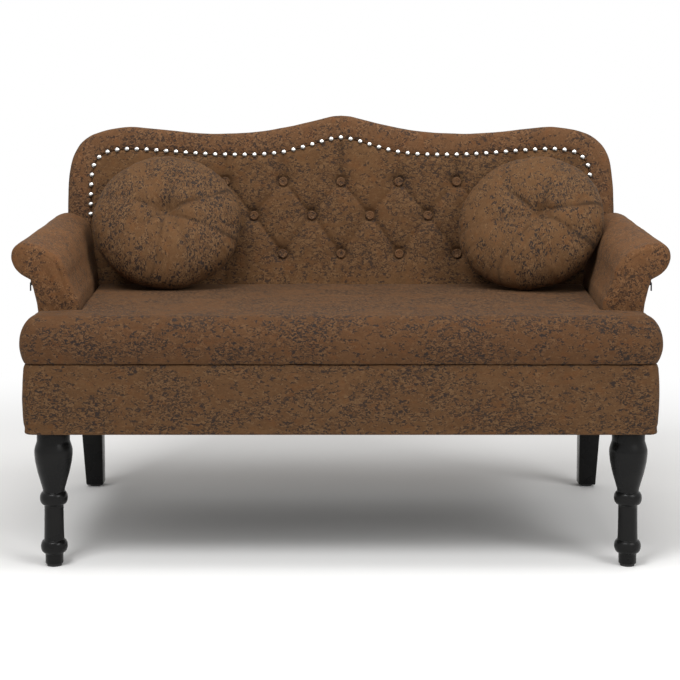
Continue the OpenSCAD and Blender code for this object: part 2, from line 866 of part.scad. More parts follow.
module zip_slider() {
    difference() {
        translate([slider_x, slider_y - slider_l / 2, zip_z + 1])
            cube([slider_t, slider_l, zip_h - 2]);
        translate([slider_x + slider_t - 1, slider_y, pin_z]) rotate([0, 90, 0])
            cylinder(r = 1.1, h = 3, center = true, $fn = 24);
    }
}

module zip_pull() {
    x = slider_x + slider_t + fit_gap;
    translate([x, slider_y - pull_w / 2, pin_z - zip_pull_l]) cube([pull_t, pull_w, zip_pull_l]);
    translate([x, slider_y, pin_z]) rotate([0, 90, 0]) cylinder(r = pull_w / 2, h = pull_t, $fn = 32);
    translate([x - 2, slider_y, pin_z]) rotate([0, 90, 0]) cylinder(r = 1, h = 2 + pull_t / 2, $fn = 24);
}

module zip_tape_right() {
    color(black) zip_tape();
}

module zip_tape_left() {
    color(black) mirror([1, 0, 0]) zip_tape();
}

module zip_slider_right() {
    color(black) zip_slider();
}

module zip_slider_left() {
    color(black) mirror([1, 0, 0]) zip_slider();
}

module zip_pull_right() {
    color(black) zip_pull();
}

module zip_pull_left() {
    color(black) mirror([1, 0, 0]) zip_pull();
}

// Back

half_back = seat_w / 2 + back_side_out;
shoulder_x = half_back - shoulder_r;
shoulder_z = shoulder_h - shoulder_r;
peak_slope = 2 * (peak_h - dip_h) / dip_x;
peak_side_slope = peak_slope * 1.18 * (1 - peak_round / dip_x);
peak_lift = (peak_h - dip_h) * 1.18;

// Height of the top edge over the middle of the back
function crest(x) = let (a = abs(x))
    a < peak_round
        ? dip_h + peak_lift * pow(1 - peak_round / dip_x, 2)
            + peak_side_slope * (peak_round - a * a / peak_round) / 2
        : a < dip_x ? dip_h + peak_lift * pow(1 - a / dip_x, 2)
        : dip_h + (shoulder_h - dip_h) * smooth((a - dip_x) / (shoulder_x - dip_x));

// Right half of the outline from the deck up to the peak, as x and z
crest_steps = 16;
half_outline = concat(
    [[half_back, -40], [half_back, shoulder_z * 0.5]],
    [for (k = [0 : 7]) let (a = 90 * k / 8)
        [shoulder_x + shoulder_r * pow(cos(a), 0.89), shoulder_z + shoulder_r * pow(sin(a), 0.89)]],
    [for (k = [0 : crest_steps]) let (x = shoulder_x * (1 - k / crest_steps)) [x, crest(x)]]
);
last_half = len(half_outline) - 1;
outline = concat(
    half_outline,
    [for (i = [last_half - 1 : -1 : 0]) [-half_outline[i][0], half_outline[i][1]]]
);

// The outline drawn in by a distance
function outline_in(n) = [
    for (i = [0 : len(outline) - 1])
        outline[i] + n * left_of(at(outline, i - 1), at(outline, i + 1))
];

// A sheet of the back's shape between two depths, ending on the deck
module back_sheet(n, y0, t) {
    difference() {
        back_space() translate([0, y0 + t, 0]) rotate([90, 0, 0]) linear_extrude(t) polygon(outline_in(n));
        below_deck();
    }
}

frame_in = boxing_t + fit_gap;
field_in = frame_in + back_board_w;
side_board_top = shoulder_z - 20;

// The block of the leaning frame between two heights
module back_slice(x0, x1, z0, z1) {
    back_space() translate([x0, -10, z0]) cube([x1 - x0, far / 4, z1 - z0]);
}

module back_crest_board() {
    color(wood) intersection() {
        difference() {
            back_sheet(frame_in, board_y, back_board_t);
            back_sheet(field_in, board_y - 1, back_board_t + 2);
        }
        back_slice(-far / 2, far / 2, side_board_top, far / 2);
    }
}

module side_board() {
    difference() {
        back_space() translate([half_back - field_in, board_y, -pad_h])
            cube([back_board_w, back_board_t, side_board_top + pad_h]);
        below_deck();
    }
}

module back_side_board_right() {
    color(wood) side_board();
}

module back_side_board_left() {
    color(wood) mirror([1, 0, 0]) side_board();
}

bottom_board_top = 66;
field_x = half_back - field_in;

module back_bottom_board() {
    color(wood) difference() {
        back_space() translate([-field_x, board_y, -40])
            cube([2 * field_x, back_board_t, bottom_board_top + 40]);
        below_deck();
    }
}

// Rows of tufts as height and sideways shift in half steps
tuft_rows = [
    [tuft_low_z, 0],
    [tuft_low_z + tuft_step_low, 1],
    [tuft_low_z + tuft_step_low + tuft_step_high, 0]
];
cover_in = border_w + groove_w;
cover_x = half_back - cover_in;
tuft_limit = cover_x - 1.6 * tuft_half_x;
tuft_spots = [
    for (row = tuft_rows, k = [-12 : 12])
        let (x = (2 * k + row[1]) * tuft_half_x)
        if (abs(x) <= (row[1] == 0 ? tuft_limit - tuft_half_x / 3 : tuft_limit + tuft_half_x / 3)) [x, row[0]]
];

module cord_holes(y0, y1) {
    back_space() for (s = tuft_spots)
        translate([s[0], y0, s[1]]) rotate([-90, 0, 0])
            cylinder(r = button_cord_r + fit_gap, h = y1 - y0, $fn = 24);
}

module back_foam() {
    color(foam) difference() {
        back_sheet(field_in + fit_gap, board_y, back_board_t);
        back_slice(-far / 2, far / 2, -far / 4, bottom_board_top + fit_gap);
        cord_holes(board_y - 1, board_y + back_board_t + 1);
    }
}

module back_panel() {
    color(wood) difference() {
        back_sheet(frame_in, panel_y, back_panel_t);
        cord_holes(panel_y - 1, panel_y + back_panel_t + 1);
    }
}

module post(x) {
    difference() {
        back_space() translate([x - post_w / 2, post_y, -40]) cube([post_w, post_t, shoulder_z + 40]);
        below_deck();
    }
}

module back_post_right() {
    color(wood) post(post_side_x + post_w / 2);
}

module back_post_left() {
    color(wood) post(-post_side_x - post_w / 2);
}

module back_post_middle() {
    color(wood) post(0);
}

module outside_back() {
    color(cloth) back_sheet(0, outside_y, outside_back_t);
}

// Which row a height belongs to, counted in rows from the lowest one
function row_of(z) = let (high = tuft_low_z + tuft_step_low)
    z < high ? (z - tuft_low_z) / tuft_step_low : 1 + (z - high) / tuft_step_high;

// Nearest tuft of a row
function near_x(x, shift) = tuft_half_x * (2 * round((x / tuft_half_x - shift) / 2) + shift);
function to_tuft(x, z) = min([for (row = tuft_rows) norm([x - near_x(x, row[1]), z - row[0]])]);

// Depth of the tufted cover below its fullest point
function tuft_depth(x, z) = let (
        r = row_of(z),
        c = min(2, max(0, r)),
        u = (x / tuft_half_x + c) / 2,
        v = (x / tuft_half_x - c) / 2,
        puff = sqrt(abs(sin(180 * u) * sin(180 * v))),
        d = to_tuft(x, z),
        fade = clamp01(1 - max(0, -r, r - 2) * 0.6)
    ) fold_depth * (1 - puff) * (0.4 + 0.6 * fade) + (dimple_depth - fold_depth) * exp(-d * d / 420);

// Top of the tufted field over one place
cover_shoulder_r = shoulder_r - cover_in;
cover_columns = concat(
    [for (k = [0 : 3]) let (a = 22 * k) [
        shoulder_x + cover_shoulder_r * pow(cos(a), 0.89),
        shoulder_z + cover_shoulder_r * pow(sin(a), 0.89)
    ]],
    [for (k = [floor(shoulder_x * 3 / tuft_half_x) : -1 : 0])
        let (x = k * tuft_half_x / 3, slope = (crest(x + 1) - crest(max(0, x - 1))) / 2)
        [x, crest(x) - cover_in * sqrt(1 + slope * slope)]]
);
last_column = len(cover_columns) - 1;
cover_tops = concat(
    cover_columns,
    [for (i = [last_column - 1 : -1 : 0]) [-cover_columns[i][0], cover_columns[i][1]]]
);
cover_rows = 15;
cover_low_z = 62;

// One column of the tufted face, from the bottom up
function cover_column(top) = [
    for (j = [0 : cover_rows])
        let (
            z = lerp(cover_low_z, top[1], j / cover_rows),
            edge = smooth(min(cover_x - abs(top[0]), top[1] - z) / 20)
        )
        [top[0], lerp(groove_depth, tuft_depth(top[0], z), edge), z]
];

module cover_form() {
    columns = [for (t = backwards(cover_tops)) cover_column(t)];
    n = cover_rows + 1;
    m = len(columns);
    front = [for (c = columns) each c];
    rear = [for (c = columns, p = [c[0], c[cover_rows]]) [p[0], cover_t, p[2]]];
    base = n * m;
    faces = [
        for (i = [0 : m - 2], j = [0 : n - 2]) let (a = i * n + j, b = a + n)
            each ((i + j) % 2 == 0 ? [[a, a + 1, b], [a + 1, b + 1, b]] : [[a, b + 1, b], [a, a + 1, b + 1]]),
        for (i = [0 : m - 2]) let (a = i * n, b = a + n, r = base + 2 * i) each [
            [a, b, r], [b, r + 2, r],
            [a + n - 1, r + 1, b + n - 1], [b + n - 1, r + 1, r + 3],
            [r, r + 2, r + 1], [r + 2, r + 3, r + 1]
        ],
        for (j = [0 : n - 2]) [j, base, j + 1],
        [n - 1, base, base + 1],
        for (j = [0 : n - 2]) let (a = (m - 1) * n + j) [a, a + 1, base + 2 * m - 2],
        [(m - 1) * n + n - 1, base + 2 * m - 1, base + 2 * m - 2]
    ];
    polyhedron(concat(front, rear), faces);
}

button_floor = dimple_depth + 1;

module back_cover() {
    color(cloth) difference() {
        back_space() cover_form();
        back_space() for (s = tuft_spots)
            translate([s[0], button_floor - 20, s[1]]) rotate([-90, 0, 0])
                cylinder(r = button_r + fit_gap, h = 20, $fn = 32);
        cord_holes(0, cover_t + 1);
    }
}

module back_buttons() {
    cord_end = panel_y + back_panel_t;
    color(cloth_light) back_space() for (s = tuft_spots)
        translate([s[0], button_floor, s[1]]) rotate([-90, 0, 0]) rotate_extrude($fn = 32) polygon(concat(
            [[0, cord_end - button_floor], [button_cord_r, cord_end - button_floor], [button_cord_r, -0.5]],
            [[button_r - 0.6, -0.5]],
            [for (a = [15 : 15 : 75]) [button_r * pow(cos(a), 0.6), -1 - (button_t - 1) * sin(a)]],
            [[0, -button_t]]
        ));
}

// Border section as distance from the edge and depth
border_section = [
    [border_w, groove_depth],
    [border_w - 6, 2],
    [border_w * 0.55, 0.5],
    [11, 2],
    [4, 6.5],
    [0, 15],
    [0, outside_y - fit_gap],
    [boxing_t, outside_y - fit_gap],
    [boxing_t, cover_t],
    [border_w, cover_t]
];

module border_form() {
    sections = [for (e = border_section) outline_in(e[0])];
    rings = [
        for (i = [len(outline) - 1 : -1 : 0]) [
            for (k = [0 : len(border_section) - 1])
                [sections[k][i][0], border_section[k][1], sections[k][i][1]]
        ]
    ];
    n = len(border_section);
    m = len(rings);
    points = [for (r = rings) each r];
    cap = [[0, 1, 2], [0, 2, 3], [0, 3, 9], [3, 4, 9], [4, 8, 9], [4, 5, 8], [5, 6, 8], [6, 7, 8]];
    end = (m - 1) * n;
    polyhedron(points, concat(
        ring_sides(n, m),
        [for (c = cap) [c[2], c[1], c[0]]],
        [for (c = cap) [end + c[0], end + c[1], end + c[2]]]
    ));
}

module back_border() {
    color(cloth) difference() {
        back_space() border_form();
        below_deck();
    }
}

// Nail places: equal steps along the groove, from one arm over the crest to the other
nail_path = let (g = outline_in(border_w + groove_w / 2), top = [for (p = g) if (p[1] > nail_low_z) p])
    concat([[g[0][0], nail_low_z]], top, [[-g[0][0], nail_low_z]]);
nail_way = [for (i = 0, s = 0; i < len(nail_path); i = i + 1,
    s = s + (i < len(nail_path) ? norm(nail_path[i] - nail_path[i - 1]) : 0)) s];
nail_count = round(nail_way[len(nail_way) - 1] / nail_pitch);
nail_step = nail_way[len(nail_way) - 1] / nail_count;

function nail_spot(d) = let (i = max([for (k = [0 : len(nail_way) - 2]) if (nail_way[k] <= d) k]))
    lerp(nail_path[i], nail_path[i + 1], (d - nail_way[i]) / (nail_way[i + 1] - nail_way[i]));

nail_base = 3.6 - nail_r * 0.55;
nail_pin = board_y - nail_base - fit_gap;

module back_nails() {
    dome = [for (a = [0 : 18 : 90]) [nail_r * cos(a), -nail_h * sin(a)]];
    color(silver) back_space() for (k = [0 : nail_count]) {
        p = nail_spot(min(k * nail_step, nail_way[len(nail_way) - 1] - 0.01));
        translate([p[0], nail_base, p[1]]) rotate([-90, 0, 0]) rotate_extrude($fn = 24)
            polygon(concat([[0, nail_pin], [nail_pin_r, nail_pin], [nail_pin_r, 0]], dome));
    }
}

// Brackets between the posts and the deck, one on the inner side of each post
function bracket_face(i) = i == 0 ? post_w / 2 : i < 0 ? -post_side_x : post_side_x - bracket_foot;
bracket_bolt_xs = [for (i = bracket_xs) bracket_face(i) + bracket_foot / 2];

module bracket(i) {
    leaf_x = i > 0 ? post_side_x - bracket_leaf : bracket_face(i);
    y0 = bracket_y - bracket_w / 2;
    difference() {
        union() {
            translate([bracket_face(i), y0, deck_top]) cube([bracket_foot, bracket_w, bracket_leaf]);
            translate([leaf_x, y0, deck_top]) cube([bracket_leaf, bracket_w, bracket_h]);
        }
        translate([bracket_face(i) + bracket_foot / 2, bracket_y, deck_top - 1])
            cylinder(r = bracket_bolt_r + fit_gap / 2, h = 10, $fn = 32);
    }
}

module back_brackets() {
    color(steel) for (i = bracket_xs) bracket(i);
}

module bracket_bolts() {
    color(steel) for (x = bracket_bolt_xs) translate([x, bracket_y, deck_z - 6]) {
        cylinder(r = bracket_bolt_r, h = deck_t + bracket_leaf + 6, $fn = 32);
        translate([0, 0, 6 + deck_t + bracket_leaf]) cylinder(r = 2 * bracket_bolt_r, h = 4, $fn = 32);
        translate([0, 0, 1]) cylinder(r = 1.9 * bracket_bolt_r, h = 5, $fn = 6);
    }
}

// Round cushions

cushion_steps = 8 * folds;
cushion_shares = [0.08, 0.2, 0.34, 0.5, 0.66, 0.8, 0.9, 0.97];

// Half thickness at a share of the radius, without the folds
function cushion_swell(s) =
    cushion_h * sqrt(1 - pow(s, 2.6)) * (1 - cushion_pinch * exp(-s * s / 0.07));

// Share of the thickness that a fold takes at a share of the radius
function fold_at(s) = fold_share * (0.7 * exp(-pow((s - 0.35) / 0.35, 2)) + 0.3);

function cushion_ring(s, face) = [
    for (i = [0 : cushion_steps - 1])
        let (
            a = 360 * i / cushion_steps,
            fold = 1 - pow(abs(sin(folds * a / 2)), 0.6),
            r = cushion_r * s * (1 - 0.15 * fold_share * fold * s)
        )
        [r * cos(a), face * cushion_swell(s) * (1 - fold_at(s) * fold), r * sin(a)]
];

cushion_rings = concat(
    [for (s = cushion_shares) cushion_ring(s, -1)],
    [cushion_ring(1, 0)],
    [for (s = backwards(cushion_shares)) cushion_ring(s, 1)]
);

// Turn about the upright and then lean back, as one rotation of a point
function posed(p, turn) = let (
        y1 = p[1] * cos(cushion_lean) + p[2] * sin(cushion_lean),
        z1 = -p[1] * sin(cushion_lean) + p[2] * cos(cushion_lean)
    ) [p[0] * cos(turn) - y1 * sin(turn), p[0] * sin(turn) + y1 * cos(turn), z1];

// Depth of a point behind the front plane of the back
function behind(p) = (p[1] - back_y) * cos(back_rake) - (p[2] - deck_top) * sin(back_rake);

// Middle of a cushion that rests on the seat and leans on the back
function cushion_middle(x, turn) = let (
        all = [for (r = cushion_rings, p = r) posed(p, turn)],
        z = deck_top + pad_h + pad_crown + free_gap - min([for (p = all) p[2]]),
        far_point = max([for (p = all) behind([0, p[1], p[2] + z])])
    ) [x, -(far_point + free_gap) / cos(back_rake), z];

cushion_left_at = cushion_middle(-(arm_in_rear - cushion_r - cushion_gap_left), cushion_turn_left);
cushion_right_at = cushion_middle(arm_in_rear - cushion_r + cushion_over_right, -cushion_turn_right);

module cushion_pose(middle, turn) {
    translate(middle) rotate([0, 0, turn]) rotate([-cushion_lean, 0, 0]) children();
}

module cushion_form() {
    skin(cushion_rings, [0, -cushion_swell(0), 0], [0, cushion_swell(0), 0]);
}

// The filling follows the cover's plain shape at a distance
module filling_form(skin_t) {
    shares = [0 : 0.1 : 0.9];
    reach = cushion_r * (1 - 0.15 * fold_share) - 2 * skin_t;
    face = [for (s = shares) [reach * s, cushion_swell(s) * (1 - fold_share) - skin_t]];
    rotate([90, 0, 0]) rotate_extrude($fn = 72) polygon(concat(
        [for (p = face) [p[0], -p[1]]],
        [[reach, 0]],
        backwards(face)
    ));
}

module cushion_cover() {
    difference() {
        cushion_form();
        filling_form(cushion_skin);
    }
}

module cushion_cover_left() {
    color(cloth_light) cushion_pose(cushion_left_at, cushion_turn_left) cushion_cover();
}

module cushion_cover_right() {
    color(cloth_light) cushion_pose(cushion_right_at, -cushion_turn_right) cushion_cover();
}

module cushion_filling_left() {
    color(foam) cushion_pose(cushion_left_at, cushion_turn_left) filling_form(cushion_skin + fit_gap);
}

module cushion_filling_right() {
    color(foam) cushion_pose(cushion_right_at, -cushion_turn_right) filling_form(cushion_skin + fit_gap);
}

seat_front_rail();
seat_back_rail();
seat_side_rail_left();
seat_side_rail_right();
seat_cross_rail();
corner_blocks();
seat_deck();
seat_foam();
seat_cover();
apron_front();
apron_side_left();
apron_side_right();
apron_back();
dust_cover();
front_leg_left();
front_leg_right();
back_leg_left();
back_leg_right();
leg_plates();
leg_bolts();
plate_screws();
leg_glides();
arm_batten_left();
arm_batten_right();
arm_board_left();
arm_board_right();
arm_foam_left();
arm_foam_right();
arm_cover_left();
arm_cover_right();
arm_bolts();
zip_tape_left();
zip_tape_right();
zip_slider_left();
zip_slider_right();
zip_pull_left();
zip_pull_right();
back_crest_board();
back_side_board_left();
back_side_board_right();
back_bottom_board();
back_foam();
back_panel();
back_post_left();
back_post_middle();
back_post_right();
back_cover();
back_border();
outside_back();
back_buttons();
back_nails();
back_brackets();
bracket_bolts();
cushion_cover_left();
cushion_cover_right();
cushion_filling_left();
cushion_filling_right();
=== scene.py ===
"""Upholstered bench: tufted back, rolled arms, padded seat and two round cushions.

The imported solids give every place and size. This script dresses them: it makes
the soft pieces as cloth meshes, gives each solid its finish, and sets the bench
in a pale studio. Lengths in the classes are millimetres, meshes are in metres.
"""
import itertools
import logging
import math
from dataclasses import dataclass
from enum import Enum
from typing import Callable, Sequence

import bmesh
import bpy
import numpy as np
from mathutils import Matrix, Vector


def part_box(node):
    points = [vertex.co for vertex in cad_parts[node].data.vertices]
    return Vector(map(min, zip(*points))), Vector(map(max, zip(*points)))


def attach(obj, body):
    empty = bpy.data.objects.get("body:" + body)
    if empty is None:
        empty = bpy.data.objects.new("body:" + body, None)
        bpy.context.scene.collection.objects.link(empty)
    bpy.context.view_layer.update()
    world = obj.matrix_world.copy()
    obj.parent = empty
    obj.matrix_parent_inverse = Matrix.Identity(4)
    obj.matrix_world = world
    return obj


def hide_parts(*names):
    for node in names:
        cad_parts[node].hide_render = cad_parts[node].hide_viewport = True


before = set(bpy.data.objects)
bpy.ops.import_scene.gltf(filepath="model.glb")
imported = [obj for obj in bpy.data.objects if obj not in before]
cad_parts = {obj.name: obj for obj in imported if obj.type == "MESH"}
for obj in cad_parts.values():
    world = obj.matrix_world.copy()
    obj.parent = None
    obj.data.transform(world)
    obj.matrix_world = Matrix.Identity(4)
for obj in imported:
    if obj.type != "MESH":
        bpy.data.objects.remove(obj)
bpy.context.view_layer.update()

log = logging.getLogger("bench")
MM = 0.001
WELD = 1e-6
SHARP_ANGLE = math.radians(35)
BODY = "bench"
Colour = tuple[float, float, float, float]
Socket = bpy.types.NodeSocket


# Small sums that every piece uses


def lerp(a: float, b: float, t: float) -> float:
    """Value between a and b at a share t."""
    return a + (b - a) * t


def ease(t: np.ndarray) -> np.ndarray:
    """Smooth step from 0 to 1, for numbers and arrays."""
    t = np.clip(t, 0.0, 1.0)
    return t * t * (3 - 2 * t)


def srgb(red: int, green: int, blue: int) -> Colour:
    """Turn a colour as a screen shows it into a linear one.

    Args:
        red: Red from 0 to 255.
        green: Green from 0 to 255.
        blue: Blue from 0 to 255.

    Returns:
        Linear colour with full alpha.
    """
    parts = [c / 255 for c in (red, green, blue)]
    linear = [c / 12.92 if c <= 0.04045 else ((c + 0.055) / 1.055) ** 2.4 for c in parts]
    return (linear[0], linear[1], linear[2], 1.0)


def tinted(colour: Colour, shares: Sequence[float]) -> Colour:
    """Colour with its red, green and blue multiplied."""
    return (colour[0] * shares[0], colour[1] * shares[1], colour[2] * shares[2], 1.0)


def through(points: Sequence[Sequence[float]], steps: int) -> np.ndarray:
    """Draw a smooth line through points.

    Args:
        points: Points that the line passes.
        steps: Steps between a point and the next.

    Returns:
        Points of the line, with the given ones among them.
    """
    p = np.asarray(points, float)
    wide = np.vstack([2 * p[0] - p[1], p, 2 * p[-1] - p[-2]])
    line = []
    for i in range(1, len(wide) - 2):
        a, b, c, d = wide[i - 1 : i + 3]
        for t in np.arange(steps) / steps:
            bend = (2 * a - 5 * b + 4 * c - d) * t**2 + (3 * b - a - 3 * c + d) * t**3
            line.append(0.5 * (2 * b + (c - a) * t + bend))
    return np.array(line + [p[-1]])


def left_normals(line: np.ndarray) -> np.ndarray:
    """Unit normals on the left-hand side of a flat line.

    Args:
        line: Points of the line, two numbers each.

    Returns:
        One normal a point.
    """
    way = np.gradient(line, axis=0)
    way /= np.linalg.norm(way, axis=1, keepdims=True)
    return np.stack([-way[:, 1], way[:, 0]], axis=1)


def full_turn(count: int) -> np.ndarray:
    """Angles of a full turn in equal steps."""
    return np.arange(count) * 2 * math.pi / count


def nearest(x: np.ndarray, z: np.ndarray, spots: np.ndarray) -> np.ndarray:
    """Distance from each place to the nearest of some spots.

    Args:
        x: First coordinate of the places.
        z: Second coordinate of the places.
        spots: Pairs of both coordinates.

    Returns:
        One distance a place.
    """
    return np.min(np.hypot(x[..., None] - spots[:, 0], z[..., None] - spots[:, 1]), axis=-1)


class SoftNoise:
    """Repeatable smooth noise in space, for the slack and creases of cloth."""

    def __init__(self, seed: int) -> None:
        """Make the tables of one noise from its seed.

        Args:
            seed: Seed of the tables.
        """
        rng = np.random.default_rng(seed)
        self._order = rng.permutation(256)
        slopes = rng.normal(size=(256, 3))
        self._slopes = slopes / np.linalg.norm(slopes, axis=1, keepdims=True)

    def at(self, points: np.ndarray) -> np.ndarray:
        """Noise at points whose unit is one bump of the noise.

        Args:
            points: Array of points, three numbers each.

        Returns:
            One value a point, from about -0.7 to 0.7.
        """
        cell = np.floor(points).astype(int)
        part = points - cell
        soft = part**3 * (part * (part * 6 - 15) + 10)
        total = np.zeros(len(points))
        for corner in itertools.product((0, 1), repeat=3):
            step = cell + corner
            row = self._order[step[:, 0] & 255] + step[:, 1]
            row = self._order[row & 255] + step[:, 2]
            slope = self._slopes[self._order[row & 255]]
            share = np.prod(np.where(corner, soft, 1 - soft), axis=1)
            total += share * np.einsum("ij,ij->i", part - corner, slope)
        return total

    def slack(self, points: np.ndarray, size: Sequence[float], layers: int = 2) -> np.ndarray:
        """Layered noise, each layer half as large and half as strong as the last.

        Args:
            points: Points in millimetres.
            size: Size of the largest bumps along x, y and z in millimetres.
            layers: Number of layers.

        Returns:
            One value a point.
        """
        scaled = points / np.asarray(size, float)
        return sum(self.at(scaled * 2**k + 17.3 * k) / 2**k for k in range(layers))


# Meshes


def add_object(name: str, data: bpy.types.ID) -> bpy.types.Object:
    """Make an object of some data and link it to the scene.

    Args:
        name: Name of the object.
        data: Its mesh, light or camera.

    Returns:
        The new object.
    """
    made = bpy.data.objects.new(name, data)
    bpy.context.scene.collection.objects.link(made)
    return made


def set_smooth(mesh: bpy.types.Mesh, smooth: bool = True) -> None:
    """Shade all of a mesh's faces as one smooth surface, or each as flat."""
    mesh.polygons.foreach_set("use_smooth", [smooth] * len(mesh.polygons))


def evaluated(piece: bpy.types.Object) -> bpy.types.Mesh:
    """New mesh of a piece with its modifiers worked out."""
    graph = bpy.context.evaluated_depsgraph_get()
    return bpy.data.meshes.new_from_object(piece.evaluated_get(graph), depsgraph=graph)


def grid_faces(rows: int, columns: int, ring: bool = False) -> list[list[int]]:
    """Faces between rows of points.

    Args:
        rows: Number of rows.
        columns: Points in each row.
        ring: Whether each row closes on itself.

    Returns:
        Faces of four points.
    """
    wide = columns if ring else columns - 1
    row, column = np.meshgrid(np.arange(rows - 1), np.arange(wide), indexing="ij")
    a = row * columns + column
    b = row * columns + (column + 1) % columns
    return np.stack([a, b, b + columns, a + columns], axis=-1).reshape(-1, 4).tolist()


def make_piece(name: str, points: np.ndarray, faces: list, smooth: bool = True) -> bpy.types.Object:
    """Make one object from points in millimetres, with its faces outwards.

    Args:
        name: Name of the piece.
        points: Points in millimetres, in the bench's own frame.
        faces: Faces as lists of point numbers.
        smooth: Whether the faces are shaded as one smooth surface.

    Returns:
        The new object, linked to the scene.
    """
    mesh = bpy.data.meshes.new(name)
    mesh.from_pydata((np.asarray(points) * MM).tolist(), [], faces)
    bm = bmesh.new()
    bm.from_mesh(mesh)
    bmesh.ops.remove_doubles(bm, verts=bm.verts, dist=WELD)
    bmesh.ops.recalc_face_normals(bm, faces=bm.faces)
    bm.to_mesh(mesh)
    bm.free()
    set_smooth(mesh, smooth)
    return add_object(name, mesh)


def loft(name: str, rings: Sequence) -> bpy.types.Object:
    """Make one closed piece through rings of points.

    Args:
        name: Name of the piece.
        rings: Rings with the same number of points, in millimetres.

    Returns:
        The new object, with a flat face at both ends.
    """
    points = np.asarray(rings)
    rows, count = points.shape[:2]
    ends = [list(range(count - 1, -1, -1)), list(range((rows - 1) * count, rows * count))]
    return make_piece(name, points.reshape(-1, 3), grid_faces(rows, count, ring=True) + ends)


def make_guide(name: str, points: np.ndarray, joined: bool) -> bpy.types.Object:
    """Make the points that repeated pieces are laid on.

    Args:
        name: Name of the guide.
        points: Points in millimetres.
        joined: Whether each point is joined to the next by an edge.

    Returns:
        The guide.
    """
    mesh = bpy.data.meshes.new(name)
    edges = [(k, k + 1) for k in range(len(points) - 1)] if joined else []
    mesh.from_pydata((np.asarray(points) * MM).tolist(), edges, [])
    return add_object(name, mesh)


def read_vectors(mesh: bpy.types.Mesh, what: str) -> np.ndarray:
    """One vector for each point of a mesh, such as its normal.

    Args:
        mesh: The mesh.
        what: Which vector: co for the place, or normal.

    Returns:
        Array of vectors, three numbers each.
    """
    flat = np.empty(len(mesh.vertices) * 3)
    mesh.vertices.foreach_get(what, flat)
    return flat.reshape(-1, 3)


def read_points(mesh: bpy.types.Mesh) -> np.ndarray:
    """Points of a mesh in millimetres."""
    return read_vectors(mesh, "co") / MM


def write_points(mesh: bpy.types.Mesh, points: np.ndarray) -> None:
    """Give a mesh new places for its points, in millimetres."""
    mesh.vertices.foreach_set("co", (points * MM).ravel())
    mesh.update()


def crumple(piece: bpy.types.Object, depth: Callable[[np.ndarray, np.ndarray], np.ndarray]) -> None:
    """Move a piece's points along their normals.

    Args:
        piece: The piece to change.
        depth: Gives the outward move in millimetres for points and normals.
    """
    points, normals = read_points(piece.data), read_vectors(piece.data, "normal")
    write_points(piece.data, points + normals * depth(points, normals)[:, None])


def mark_folds(piece: bpy.types.Object, share: np.ndarray) -> None:
    """Store a share of painted shade at each point, which the cloth's material darkens in folds, creases and
    hollows.
    """
    # The fold attribute holds painted shade for the cloth material, not a colour of the cloth.
    layer = piece.data.attributes.new("fold", "FLOAT", "POINT")
    layer.data.foreach_set("value", np.clip(share, 0, 1).astype(np.float32))


def mirrored(piece: bpy.types.Object, name: str) -> bpy.types.Object:
    """Make the left-hand copy of a right-hand piece.

    Args:
        piece: The right-hand piece.
        name: Name of the left-hand one.

    Returns:
        The new object, without modifiers.
    """
    mesh = piece.data.copy()
    write_points(mesh, read_points(mesh) * (-1, 1, 1))
    mesh.flip_normals()
    return add_object(name, mesh)


def dress(piece: bpy.types.Object, material: bpy.types.Material) -> bpy.types.Object:
    """Give a piece one material.

    Args:
        piece: The piece.
        material: Its material.

    Returns:
        The same piece.
    """
    piece.data.materials.clear()
    piece.data.materials.append(material)
    return piece


def seat_piece(piece: bpy.types.Object, body: str, *nodes: str) -> bpy.types.Object:
    """Let a piece ride on a body in the place of some solids, and log it.

    Args:
        piece: The piece.
        body: Body that it rides on.
        *nodes: Solids that it stands for.

    Returns:
        The same piece.
    """
    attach(piece, body)
    if nodes:
        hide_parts(*nodes)
    log.info("%s: %d points on %s", piece.name, len(piece.data.vertices), body)
    return piece


def add_bevel(piece: bpy.types.Object, width: float, segments: int = 2) -> None:
    """Round a piece's hard edges.

    Args:
        piece: The piece.
        width: Width of the bevel in millimetres.
        segments: Faces across the bevel.
    """
    bevel = piece.modifiers.new("Round edges", "BEVEL")
    bevel.width, bevel.segments = width * MM, segments
    bevel.limit_method, bevel.angle_limit = "ANGLE", SHARP_ANGLE


# Shader node groups


class GroupKind(Enum):
    """Types of a node group's sockets."""

    VALUE = "NodeSocketFloat"
    VECTOR = "NodeSocketVector"
    COLOUR = "NodeSocketColor"


